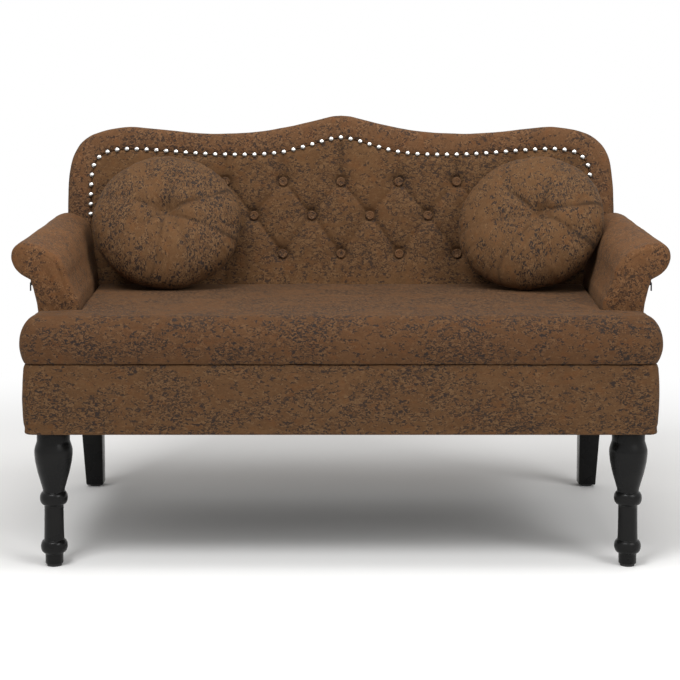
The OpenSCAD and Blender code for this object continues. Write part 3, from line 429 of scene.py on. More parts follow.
class NodeBench:
    """Places and joins nodes in one tree."""

    def __init__(self, tree: bpy.types.NodeTree) -> None:
        """Keep the tree that nodes are added to."""
        self.tree = tree

    def add(self, kind: str, **settings: object) -> bpy.types.Node:
        """Add a node and set its properties.

        Args:
            kind: Type name of the node.
            **settings: Properties of the node.

        Returns:
            The node.
        """
        node = self.tree.nodes.new(kind)
        for key, value in settings.items():
            setattr(node, key, value)
        return node

    def join(self, value: object, socket: Socket) -> None:
        """Join a socket to another one, or set it to a constant.

        Args:
            value: A socket or a constant.
            socket: The input that takes it.
        """
        if isinstance(value, Socket):
            self.tree.links.new(value, socket)
        else:
            socket.default_value = value

    def feed(self, node: bpy.types.Node, **values: object) -> bpy.types.Node:
        """Set or join a node's inputs by name, with _ for a space.

        Args:
            node: The node.
            **values: A socket to join, or a constant to set.

        Returns:
            The same node.
        """
        for key, value in values.items():
            name = key.replace("_", " ")
            self.join(value, next(s for s in node.inputs if s.name == name and s.enabled))
        return node

    def maths(self, operation: str, *values: object) -> Socket:
        """Output of a Math node over sockets and constants.

        Args:
            operation: Operation of the node.
            *values: Sockets and constants, in the node's order.

        Returns:
            The node's output.
        """
        node = self.add("ShaderNodeMath", operation=operation)
        for socket, value in zip(node.inputs, values):
            self.join(value, socket)
        return node.outputs[0]

    def times(self, first: object, second: object) -> Socket:
        """Product of two sockets or constants."""
        return self.maths("MULTIPLY", first, second)

    def line(self, value: object, slope: object, start: object) -> Socket:
        """Value times a slope, plus a start."""
        return self.maths("MULTIPLY_ADD", value, slope, start)

    def noise(self, vector: Socket, scale: object, detail: float, **more: object) -> Socket:
        """Value of a noise texture.

        Args:
            vector: Where it is read.
            scale: Bumps a metre.
            detail: Layers of finer noise.
            **more: Other inputs, such as Distortion.

        Returns:
            The noise's value.
        """
        node = self.add("ShaderNodeTexNoise", noise_dimensions="3D")
        self.feed(node, Vector=vector, Scale=scale, Detail=detail, **more)
        return node.outputs[0]

    def window(self, value: Socket, low: object, high: object, soft: bool = True) -> Socket:
        """Value stretched so that low becomes 0 and high becomes 1, and clamped.

        Args:
            value: Value to stretch.
            low: What becomes 0.
            high: What becomes 1.
            soft: Whether both ends are eased.

        Returns:
            The stretched value.
        """
        node = self.add("ShaderNodeMapRange")
        node.interpolation_type = "SMOOTHSTEP" if soft else "LINEAR"
        self.feed(node, Value=value, From_Min=low, From_Max=high)
        return node.outputs[0]

    def blend(self, share: object, first: object, second: object, mode: str = "MIX") -> Socket:
        """Colour mixed from two by a share.

        Args:
            share: Share of the second colour.
            first: Colour at 0.
            second: Colour at 1.
            mode: How the two are mixed.

        Returns:
            The mixed colour.
        """
        node = self.add("ShaderNodeMix", data_type="RGBA", blend_type=mode)
        for socket, value in zip((node.inputs[0], node.inputs[6], node.inputs[7]), (share, first, second)):
            self.join(value, socket)
        return node.outputs[2]

    def stretched(self, vector: Socket, scale: Sequence[float]) -> Socket:
        """Vector with each of its parts multiplied.

        Args:
            vector: The vector.
            scale: Factor for each of its parts.

        Returns:
            The stretched vector.
        """
        node = self.add("ShaderNodeVectorMath", operation="MULTIPLY")
        self.join(vector, node.inputs[0])
        self.join(scale, node.inputs[1])
        return node.outputs[0]


class ShaderGroup:
    """A shared effect: a node group that is built once."""

    title: str
    inputs: Sequence[tuple[str, GroupKind, object]]
    outputs: Sequence[tuple[str, GroupKind]] = (
        ("Colour", GroupKind.COLOUR), ("Roughness", GroupKind.VALUE), ("Height", GroupKind.VALUE),
    )

    @classmethod
    def tree(cls) -> bpy.types.NodeTree:
        """The group's node tree, made at its first use.

        Returns:
            The node tree.
        """
        known = bpy.data.node_groups.get(cls.title)
        if known:
            return known
        tree = bpy.data.node_groups.new(cls.title, "ShaderNodeTree")
        for name, kind, value in cls.inputs:
            socket = tree.interface.new_socket(name, in_out="INPUT", socket_type=kind.value)
            if value is not None:
                socket.default_value = value
        for name, kind in cls.outputs:
            tree.interface.new_socket(name, in_out="OUTPUT", socket_type=kind.value)
        desk = NodeBench(tree)
        given = desk.add("NodeGroupInput")
        result = desk.add("NodeGroupOutput")
        for name, socket in cls.build(desk, given.outputs).items():
            desk.join(socket, result.inputs[name])
        return tree

    @classmethod
    def build(cls, desk: NodeBench, given: bpy.types.NodeInputs) -> dict[str, Socket]:
        """Make the group's inner nodes.

        Args:
            desk: Bench of the group's own tree.
            given: Sockets of the group's inputs.

        Returns:
            Sockets for the group's outputs, by name.
        """
        raise NotImplementedError

    @classmethod
    def place(cls, desk: NodeBench, **values: object) -> bpy.types.Node:
        """Place the group in a material with its own values.

        Args:
            desk: The material's node bench.
            **values: The group's inputs by name, with _ for a space.

        Returns:
            The placed group.
        """
        node = desk.add("ShaderNodeGroup")
        node.node_tree = cls.tree()
        return desk.feed(node, **values)


class SuedeGroup(ShaderGroup):
    """Brushed suede cloth with printed dark flecks in cloudy patches."""

    title = "Speckled suede"
    thread_scale = 212.0
    break_scale = 100.0
    speck_scale = 430.0
    rub_scale = 34.0
    rust_scale = 58.0
    nap_scale = 900.0
    inputs = (
        ("Vector", GroupKind.VECTOR, None),
        ("Ground", GroupKind.COLOUR, srgb(100, 70, 46)),
        ("Rub", GroupKind.COLOUR, srgb(112, 83, 58)),
        ("Rust", GroupKind.COLOUR, srgb(110, 70, 40)),
        ("Fleck", GroupKind.COLOUR, srgb(37, 29, 25)),
        ("Worn", GroupKind.COLOUR, srgb(128, 104, 82)),
        ("Fleck Amount", GroupKind.VALUE, 1.0),
        ("Cloud Scale", GroupKind.VALUE, 15.0),
    )

    @classmethod
    def build(cls, desk: NodeBench, given: bpy.types.NodeInputs) -> dict[str, Socket]:
        """Make the flecks, the rubbed patches and the nap.

        Args:
            desk: Bench of the group's own tree.
            given: Sockets of the group's inputs.

        Returns:
            Sockets for the group's outputs, by name.
        """
        vector = given["Vector"]
        cloud = desk.window(desk.noise(vector, given["Cloud Scale"], 3.0, Roughness=0.55), 0.34, 0.62)
        threads = desk.noise(vector, cls.thread_scale, 1.0, Roughness=0.5, Distortion=1.2)
        squiggles = desk.window(threads, 0.49, 0.42)
        breaks = desk.noise(vector, cls.break_scale, 2.0, Roughness=0.6)
        break_edge = desk.line(cloud, -0.18, 0.53)
        broken = desk.window(breaks, break_edge, desk.maths("ADD", break_edge, 0.1))
        fine = desk.noise(vector, cls.speck_scale, 2.0, Roughness=0.6, Distortion=0.8)
        fine_edge = desk.line(cloud, -0.07, 0.62)
        specks = desk.window(fine, fine_edge, desk.maths("ADD", fine_edge, 0.05))
        flecks = desk.maths("MAXIMUM", desk.times(squiggles, broken), desk.times(specks, 0.5))
        flecks = desk.times(flecks, given["Fleck Amount"])
        raised = desk.times(desk.window(threads, 0.515, 0.61), desk.line(broken, 0.7, 0.3))
        patches = desk.window(desk.noise(vector, cls.rub_scale, 4.0, Roughness=0.6), 0.42, 0.66)
        uneven = desk.noise(desk.stretched(vector, (1.0, 1.3, 0.8)), cls.rust_scale, 3.0)
        rust = desk.window(uneven, 0.52, 0.68)
        nap = desk.noise(vector, cls.nap_scale, 3.0, Roughness=0.7)
        ground = desk.blend(desk.times(patches, 0.45), given["Ground"], given["Rub"])
        ground = desk.blend(desk.times(rust, 0.35), ground, given["Rust"])
        dim = desk.line(nap, 0.5, 0.75)
        grey = desk.add("ShaderNodeCombineColor")
        for socket in grey.inputs:
            desk.join(dim, socket)
        ground = desk.blend(1.0, ground, grey.outputs[0], "MULTIPLY")
        shade = desk.blend(desk.times(cloud, 0.1), ground, given["Fleck"])
        shade = desk.blend(desk.times(raised, 0.52), shade, given["Worn"])
        colour = desk.blend(desk.times(flecks, 0.86), shade, given["Fleck"])
        rough = desk.line(flecks, -0.22, 0.92)
        height = desk.maths("SUBTRACT", desk.times(nap, 0.5), desk.times(flecks, 0.5))
        return {"Colour": colour, "Roughness": rough, "Height": height}


class GrainGroup(ShaderGroup):
    """Long wood grain with pale and dark bands and fine pores."""

    title = "Wood grain"
    inputs = (
        ("Vector", GroupKind.VECTOR, None),
        ("Pale", GroupKind.COLOUR, srgb(205, 170, 122)),
        ("Dark", GroupKind.COLOUR, srgb(158, 116, 72)),
        ("Ply Scale", GroupKind.VALUE, 420.0),
    )

    @classmethod
    def build(cls, desk: NodeBench, given: bpy.types.NodeInputs) -> dict[str, Socket]:
        """Make the grain bands and the pores.

        Args:
            desk: Bench of the group's own tree.
            given: Sockets of the group's inputs.

        Returns:
            Sockets for the group's outputs, by name.
        """
        vector = given["Vector"]
        bands = desk.noise(desk.stretched(vector, (5.0, 5.0, 90.0)), 1.0, 5.0, Roughness=0.6, Distortion=0.4)
        pores = desk.noise(desk.stretched(vector, (60.0, 60.0, 900.0)), 1.0, 2.0)
        pore_mask = desk.window(pores, 0.6, 0.7)
        wave = desk.maths("SINE", desk.times(desk.noise(vector, 9.0, 2.0), given["Ply Scale"]))
        tone = desk.line(wave, 0.06, desk.window(bands, 0.35, 0.65))
        colour = desk.blend(tone, given["Pale"], given["Dark"])
        colour = desk.blend(desk.times(pore_mask, 0.5), colour, given["Dark"])
        rough = desk.line(tone, 0.2, 0.55)
        return {"Colour": colour, "Roughness": rough, "Height": desk.times(pore_mask, -1.0)}


class WearGroup(ShaderGroup):
    """Fine dust, faint scratches and uneven gloss on hard parts."""

    title = "Handled surface"
    inputs = (
        ("Vector", GroupKind.VECTOR, None),
        ("Colour", GroupKind.COLOUR, srgb(22, 21, 20)),
        ("Dust", GroupKind.COLOUR, srgb(92, 88, 82)),
        ("Dust Amount", GroupKind.VALUE, 0.05),
        ("Roughness", GroupKind.VALUE, 0.3),
    )

    @classmethod
    def build(cls, desk: NodeBench, given: bpy.types.NodeInputs) -> dict[str, Socket]:
        """Make the dust, the scratches and the brushed gloss.

        Args:
            desk: Bench of the group's own tree.
            given: Sockets of the group's inputs.

        Returns:
            Sockets for the group's outputs, by name.
        """
        vector = given["Vector"]
        specks = desk.window(desk.noise(vector, 620.0, 3.0, Roughness=0.7), 0.5, 0.8)
        veil = desk.window(desk.noise(vector, 22.0, 3.0), 0.35, 0.7)
        lines = desk.noise(desk.stretched(vector, (900.0, 900.0, 24.0)), 1.0, 2.0, Distortion=0.3)
        scratches = desk.window(lines, 0.64, 0.7)
        dust = desk.times(desk.line(veil, 0.6, specks), given["Dust Amount"])
        colour = desk.blend(dust, given["Colour"], given["Dust"])
        uneven = desk.line(veil, 0.1, desk.times(scratches, 0.12))
        rough = desk.maths("ADD", given["Roughness"], uneven)
        height = desk.line(specks, 0.35, desk.times(scratches, -0.2))
        return {"Colour": colour, "Roughness": rough, "Height": height}


class WeaveGroup(ShaderGroup):
    """Plain weave of fine threads."""

    title = "Plain weave"
    inputs = (
        ("Vector", GroupKind.VECTOR, None),
        ("Thread", GroupKind.COLOUR, srgb(30, 29, 30)),
        ("Gap", GroupKind.COLOUR, srgb(12, 12, 12)),
        ("Threads", GroupKind.VALUE, 900.0),
    )

    @classmethod
    def build(cls, desk: NodeBench, given: bpy.types.NodeInputs) -> dict[str, Socket]:
        """Make crossing threads with a little unevenness.

        Args:
            desk: Bench of the group's own tree.
            given: Sockets of the group's inputs.

        Returns:
            Sockets for the group's outputs, by name.
        """
        parts = desk.add("ShaderNodeSeparateXYZ")
        desk.join(given["Vector"], parts.inputs[0])
        drift = desk.times(desk.noise(given["Vector"], 60.0, 2.0), 0.004)
        pace = desk.times(given["Threads"], 6.283)
        waves = [
            desk.maths("SINE", desk.times(desk.maths("ADD", part, drift), pace))
            for part in parts.outputs
        ]
        across = desk.maths("ADD", waves[0], waves[2])
        height = desk.line(desk.times(across, waves[1]), 0.25, 0.5)
        colour = desk.blend(height, given["Gap"], given["Thread"])
        return {"Colour": colour, "Roughness": desk.line(height, -0.1, 0.95), "Height": height}


# Finishes


@dataclass(frozen=True)
class Finish:
    """What every finish shares: its name and the way its material is made."""

    name: str

    def material(self) -> bpy.types.Material:
        """Build the material.

        Returns:
            The new material.
        """
        material = bpy.data.materials.new(self.name)
        material.use_nodes = True
        surface = next(n for n in material.node_tree.nodes if n.type == "BSDF_PRINCIPLED")
        self.paint(NodeBench(material.node_tree), surface)
        return material

    def paint(self, desk: NodeBench, surface: bpy.types.Node) -> None:
        """Join this finish to the surface.

        Args:
            desk: The material's node bench.
            surface: The surface shader.
        """
        raise NotImplementedError

    def where(
        self, desk: NodeBench, turn: Sequence[float] = (0, 0, 0), shift: Sequence[float] = (0, 0, 0),
    ) -> Socket:
        """Object coordinates, turned and moved by a Mapping node.

        Args:
            desk: The material's node bench.
            turn: Turn about X, Y and Z in radians.
            shift: Move along X, Y and Z in metres.

        Returns:
            The turned and moved coordinates.
        """
        mapping = desk.add("ShaderNodeMapping")
        desk.feed(mapping, Location=shift, Rotation=turn)
        desk.join(desk.add("ShaderNodeTexCoord").outputs["Object"], mapping.inputs["Vector"])
        return mapping.outputs[0]

    def finish(
        self, desk: NodeBench, surface: bpy.types.Node, group: bpy.types.Node, relief: float,
    ) -> None:
        """Join a group's colour, roughness and height to the surface.

        Args:
            desk: The material's node bench.
            surface: The surface shader.
            group: The placed group.
            relief: Depth of the bumps in millimetres.
        """
        desk.feed(surface, Base_Color=group.outputs["Colour"], Roughness=group.outputs["Roughness"])
        bump = desk.add("ShaderNodeBump")
        desk.feed(bump, Strength=0.8, Distance=relief * MM, Height=group.outputs["Height"])
        desk.feed(surface, Normal=bump.outputs[0])


@dataclass(frozen=True)
class Suede(Finish):
    """The brown speckled cover cloth for one piece; its ground is set lighter or darker per piece as painted
    light.
    """

    ground: Colour
    stretch: tuple[float, float, float] = (1.0, 1.0, 1.0)
    shift: tuple[float, float, float] = (0.0, 0.0, 0.0)
    fleck: float = 1.0
    cloud_scale: float = 15.0
    fold_shade: float = 0.45

    def paint(self, desk: NodeBench, surface: bpy.types.Node) -> None:
        """Join the speckled cloth, with painted shade darkening it in its folds.

        Args:
            desk: The material's node bench.
            surface: The surface shader.
        """
        vector = desk.stretched(self.where(desk, shift=self.shift), self.stretch)
        group = SuedeGroup.place(
            desk, Vector=vector, Ground=self.ground, Rub=tinted(self.ground, (1.3, 1.38, 1.45)),
            Rust=tinted(self.ground, (1.3, 1.05, 0.8)), Worn=tinted(self.ground, (1.8, 2.1, 2.4)),
            Fleck_Amount=self.fleck, Cloud_Scale=self.cloud_scale)
        self.finish(desk, surface, group, relief=0.5)
        # Painted shade: the fold attribute blends the cloth towards a near-black brown in folds, creases and
        # button pockets.
        fold = desk.add("ShaderNodeAttribute", attribute_name="fold").outputs["Fac"]
        dim = desk.times(fold, self.fold_shade)
        desk.feed(surface, Base_Color=desk.blend(dim, group.outputs["Colour"], srgb(24, 18, 14)))
        desk.feed(surface, Sheen_Weight=0.06, Sheen_Roughness=0.5, Specular_IOR_Level=0.16)
        surface.inputs["Sheen Tint"].default_value = srgb(214, 178, 140)


@dataclass(frozen=True)
class HardFinish(Finish):
    """Lacquer, plastic or metal with a handled surface."""

    colour: Colour
    metallic: float = 0.0
    roughness: float = 0.3
    dust: float = 0.05
    gloss: float = 0.5
    tarnish: float = 0.0

    def paint(self, desk: NodeBench, surface: bpy.types.Node) -> None:
        """Join the handled surface, with painted shade on its undersides if asked for.

        Args:
            desk: The material's node bench.
            surface: The surface shader.
        """
        group = WearGroup.place(
            desk, Vector=self.where(desk), Colour=self.colour, Dust_Amount=self.dust,
            Roughness=self.roughness)
        self.finish(desk, surface, group, relief=0.05)
        desk.feed(surface, Metallic=self.metallic, Specular_IOR_Level=self.gloss)
        # Painted shade: faces that point downwards in the object's frame are blended dark, as on the lower
        # half of the nail heads.
        if self.tarnish:
            parts = desk.add("ShaderNodeSeparateXYZ")
            desk.join(desk.add("ShaderNodeTexCoord").outputs["Normal"], parts.inputs[0])
            low = desk.times(desk.window(parts.outputs[2], 0.3, -0.04), self.tarnish)
            desk.feed(surface, Base_Color=desk.blend(low, group.outputs["Colour"], srgb(46, 38, 32)))


@dataclass(frozen=True)
class Plywood(Finish):
    """Bare birch plywood with its grain along one direction."""

    turn: tuple[float, float, float] = (0.0, 0.0, 0.0)

    def paint(self, desk: NodeBench, surface: bpy.types.Node) -> None:
        """Join the wood grain, turned along the board."""
        group = GrainGroup.place(desk, Vector=self.where(desk, turn=self.turn))
        self.finish(desk, surface, group, relief=0.2)


@dataclass(frozen=True)
class Foam(Finish):
    """Open foam or fibre filling, pale with small pores."""

    colour: Colour
    pores: float = 420.0

    def paint(self, desk: NodeBench, surface: bpy.types.Node) -> None:
        """Join the pores and the uneven tone.

        Args:
            desk: The material's node bench.
            surface: The surface shader.
        """
        vector = self.where(desk)
        cells = desk.feed(desk.add("ShaderNodeTexVoronoi", feature="F1"), Vector=vector, Scale=self.pores)
        pit = desk.window(cells.outputs["Distance"], 0.1, 0.6)
        tone = desk.noise(vector, 30.0, 3.0)
        share = desk.line(pit, 0.5, desk.times(tone, 0.3))
        colour = desk.blend(share, tinted(self.colour, (0.7, 0.66, 0.55)), self.colour)
        bump = desk.feed(desk.add("ShaderNodeBump"), Strength=0.7, Distance=0.6 * MM, Height=pit)
        rough = desk.line(tone, 0.1, 0.88)
        desk.feed(surface, Base_Color=colour, Roughness=rough, Normal=bump.outputs[0])


@dataclass(frozen=True)
class BlackCloth(Finish):
    """Thin black woven cloth, for the dust cover and the zip tape."""

    threads: float = 900.0

    def paint(self, desk: NodeBench, surface: bpy.types.Node) -> None:
        """Join the plain weave."""
        group = WeaveGroup.place(desk, Vector=self.where(desk), Threads=self.threads)
        self.finish(desk, surface, group, relief=0.3)


class Stock:
    """All materials of the bench, built once."""

    def __init__(self) -> None:
        """Build every material and keep it by its name."""
        quarter = math.pi / 2
        finishes = [
            # Painted light: one cloth gets a lighter or darker ground on each piece, standing in for the
            # light that piece gets.
            Suede("seat_suede", srgb(81, 55, 34), (0.84, 1.0, 1.32), fleck=1.15),
            Suede("apron_suede", srgb(83, 58, 36), (0.78, 0.88, 1.32), (0.31, 0.1, 0.2), 1.07),
            Suede("arm_suede", srgb(96, 65, 40), (1.12, 0.92, 1.12), (0.4, 0.9, 0.8), 0.9),
            Suede("back_suede", srgb(90, 63, 39), (0.8, 0.9, 1.15), (1.3, 0.6, 0.4), 0.92),
            Suede("border_suede", srgb(94, 65, 42), (0.85, 0.9, 1.0), (2.1, 0.3, 0.9), 0.95),
            Suede("cushion_suede", srgb(92, 65, 41), (1.34, 1.0, 0.84), (0.2, 1.7, 0.1), 1.2, 12.0, 0.6),
            Suede("button_suede", srgb(90, 63, 41)),
            HardFinish("black_lacquer", srgb(15, 15, 15), roughness=0.24, dust=0.03, gloss=0.15),
            HardFinish("bright_nail", srgb(238, 238, 235), metallic=0.85, roughness=0.2, dust=0.02,
                       tarnish=0.55),
            HardFinish("zinc_steel", srgb(168, 170, 172), metallic=1.0, roughness=0.38, dust=0.08),
            HardFinish("black_metal", srgb(26, 26, 28), metallic=0.7, roughness=0.35, dust=0.04),
            HardFinish("black_plastic", srgb(24, 24, 25), roughness=0.5, dust=0.08),
            Plywood("plywood_long", turn=(0, quarter, 0)),
            Plywood("plywood_deep", turn=(quarter, 0, 0)),
            Plywood("plywood_upright"),
            Foam("yellow_foam", srgb(226, 208, 160)),
            Foam("white_filling", srgb(232, 230, 224), pores=160.0),
            BlackCloth("dust_cloth"),
            BlackCloth("zip_cloth", threads=1100.0),
        ]
        self._materials = {finish.name: finish.material() for finish in finishes}

    def __getitem__(self, name: str) -> bpy.types.Material:
        """The material of that name."""
        return self._materials[name]


# Repeated pieces, laid out by geometry nodes


class PathTree:
    """Geometry nodes that set a small piece at equal steps on a path or on points."""

    def __init__(self, name: str, along_path: bool) -> None:
        """Build the tree.

        Args:
            name: Name of the tree.
            along_path: Whether the points are spread along the path's edges.
        """
        self.tree = bpy.data.node_groups.new(name, "GeometryNodeTree")
        face = self.tree.interface
        face.new_socket("Path", in_out="INPUT", socket_type="NodeSocketGeometry")
        kinds = {
            "Piece": "Object", "Count": "Int", "Lean": "Float", "Hand Set": "Float", "Seed": "Int",
            "Finish": "Material",
        }
        self.keys = {
            name: face.new_socket(name, in_out="INPUT", socket_type=f"NodeSocket{kind}").identifier
            for name, kind in kinds.items()
        }
        face.new_socket("Pieces", in_out="OUTPUT", socket_type="NodeSocketGeometry")
        desk = NodeBench(self.tree)
        given = desk.add("NodeGroupInput").outputs
        points = given["Path"]
        if along_path:
            curve = desk.feed(desk.add("GeometryNodeMeshToCurve"), Mesh=points)
            spread = desk.add("GeometryNodeResampleCurve", mode="COUNT")
            points = desk.feed(spread, Curve=curve.outputs[0], Count=given["Count"]).outputs[0]
        piece = desk.feed(desk.add("GeometryNodeObjectInfo"), Object=given["Piece"])
        uneven = desk.add("FunctionNodeRandomValue", data_type="FLOAT_VECTOR")
        desk.feed(uneven, Min=(-1.0, -1.0, -1.0), Max=(1.0, 1.0, 1.0), Seed=given["Seed"])
        scaled = desk.add("ShaderNodeVectorMath", operation="SCALE")
        desk.feed(scaled, Vector=uneven.outputs[0], Scale=given["Hand Set"])
        lean = desk.feed(desk.add("ShaderNodeCombineXYZ"), X=given["Lean"])
        turn = desk.add("ShaderNodeVectorMath", operation="ADD")
        desk.join(lean.outputs[0], turn.inputs[0])
        desk.join(scaled.outputs[0], turn.inputs[1])
        copies = desk.add("GeometryNodeInstanceOnPoints")
        desk.feed(copies, Points=points, Instance=piece.outputs["Geometry"], Rotation=turn.outputs[0])
        real = desk.feed(desk.add("GeometryNodeRealizeInstances"), Geometry=copies.outputs[0])
        paint = desk.add("GeometryNodeSetMaterial")
        desk.feed(paint, Geometry=real.outputs[0], Material=given["Finish"])
        desk.join(paint.outputs[0], desk.add("NodeGroupOutput").inputs[0])

    def lay(self, name: str, path: bpy.types.Object, **values: object) -> bpy.types.Object:
        """Lay the pieces out and turn the result into a plain mesh.

        Args:
            name: Name of the finished piece.
            path: Mesh whose edges or points carry the copies; it is used up.
            **values: The tree's inputs by name, with _ for a space.

        Returns:
            The finished piece.
        """
        modifier = path.modifiers.new("Repeat", "NODES")
        modifier.node_group = self.tree
        for key, value in values.items():
            modifier[self.keys[key.replace("_", " ")]] = value
        mesh = evaluated(path)
        path.modifiers.remove(modifier)
        mesh.name = name
        for used in (path, values["Piece"]):
            bpy.data.objects.remove(used)
        set_smooth(mesh)
        return add_object(name, mesh)


def turned_piece(name: str, profile: Sequence[Sequence[float]], segments: int) -> bpy.types.Object:
    """Turn a profile about the Y axis; its height points to the front.

    Args:
        name: Name of the piece.
        profile: Pairs of radius and height in millimetres, ending at radius 0.
        segments: Number of sides.

    Returns:
        The turned piece at the origin.
    """
    rings = [
        [(r * math.cos(a), -h, r * math.sin(a)) for a in full_turn(segments)]
        for r, h in profile if r > 0
    ]
    points = np.array(rings).reshape(-1, 3)
    faces = grid_faces(len(rings), segments, ring=True)
    tip = len(points)
    last = (len(rings) - 1) * segments
    faces += [[last + k, last + (k + 1) % segments, tip] for k in range(segments)]
    faces.append(list(range(segments - 1, -1, -1)))
    return make_piece(name, np.vstack([points, [(0, -profile[-1][1], 0)]]), faces)


# The legs


@dataclass
class Legs:
    """Two turned front legs and two raked back legs."""

    height: float = 234.0
    x: float = 484.0
    front_y: float = -265.5
    glide: float = 4.0
    collar: float = 27.6
    bulb: float = 31.9
    waist: float = 18.3
    stem: float = 16.0
    foot: float = 14.9
    upper_ring: tuple[float, float] = (115.5, 23.4)
    lower_ring: tuple[float, float] = (33.4, 22.4)
    ring_half: float = 11.0
    back_outer: float = 519.0
    back_top: float = 46.0
    back_foot: float = 34.0
    back_top_y: float = 213.5
    heel_y: float = 322.5
    sides: int = 72
    edge: float = 2.2

    def ring(self, middle: float, radius: float) -> list[tuple[float, float]]:
        """Profile of one turned ring, from its lower to its upper edge."""
        angles = np.radians(np.linspace(-84, 84, 15))
        return [(radius - 6.4 + 6.4 * math.cos(a), middle + self.ring_half * math.sin(a)) for a in angles]

    def profile(self) -> list[tuple[float, float]]:
        """Radius and height of the turned leg from the glide to the rail.

        Returns:
            Pairs of radius and height.
        """
        top, rise = self.height, self.bulb - self.waist
        shares = (
            (-106.5, 0.0), (-103.0, 0.02), (-96.5, 0.16), (-89.5, 0.3), (-83, 0.44), (-76.5, 0.58),
            (-69.5, 0.7), (-63, 0.8), (-56.5, 0.9), (-49.5, 0.96), (-42.5, 1.0), (-36, 0.99), (-29.5, 0.87),
        )
        swell = [(self.waist + rise * share, top + z) for z, share in shares]
        bulb = through([*swell, (self.collar + 0.3, top - 22.5)], 3)
        stem = through([
            (self.stem + 0.9, self.lower_ring[0] + 12), (self.stem + 0.5, 56.0),
            (self.stem + 0.2, 76.0), (self.stem, self.upper_ring[0] - 12),
        ], 5)
        foot = [
            (self.foot - 1.2, self.glide), (self.foot - 0.3, self.glide + 0.4),
            (self.foot, self.glide + 1.3), (self.foot, 18.0), (self.foot + 0.6, 21.2),
        ]
        collar = [(self.collar, top - 20.5), (self.collar, top - 1.2), (self.collar - 0.6, top - 0.2)]
        return [
            *foot, *self.ring(*self.lower_ring), *map(tuple, stem),
            *self.ring(*self.upper_ring), *map(tuple, bulb), *collar,
        ]

    def front(self) -> bpy.types.Object:
        """Build the right front leg.

        Returns:
            The leg.
        """
        return loft("front_leg_turned_right", [
            [(self.x + r * math.cos(a), self.front_y + r * math.sin(a), z) for a in full_turn(self.sides)]
            for r, z in self.profile()
        ])

    def back(self) -> bpy.types.Object:
        """Build the right back leg, square, tapered and raked.

        Returns:
            The leg, with its edges rounded.
        """
        rows = []
        for t in np.linspace(0, 1, 12):
            side = lerp(self.back_foot, self.back_top, t)
            y = lerp(self.heel_y - self.back_foot / 2, self.back_top_y, t)
            z = lerp(self.glide, self.height, t)
            corner = side / 2
            x = self.back_outer - corner
            corners = ((-1, -1), (1, -1), (1, 1), (-1, 1))
            rows.append([(x + across * corner, y + along * corner, z) for across, along in corners])
        leg = loft("back_leg_raked_right", rows)
        add_bevel(leg, self.edge, 3)
        return leg

    def build(self, stock: Stock) -> None:
        """Build and dress all four legs.

        Args:
            stock: All materials of the bench.
        """
        for right, left_name, nodes in (
            (self.front(), "front_leg_turned_left", ("front_leg_right", "front_leg_left")),
            (self.back(), "back_leg_raked_left", ("back_leg_right", "back_leg_left")),
        ):
            left = mirrored(right, left_name)
            if right.modifiers:
                add_bevel(left, self.edge, 3)
            for leg, node in zip((right, left), nodes):
                dress(leg, stock["black_lacquer"])
                seat_piece(leg, BODY, node)


# The seat box


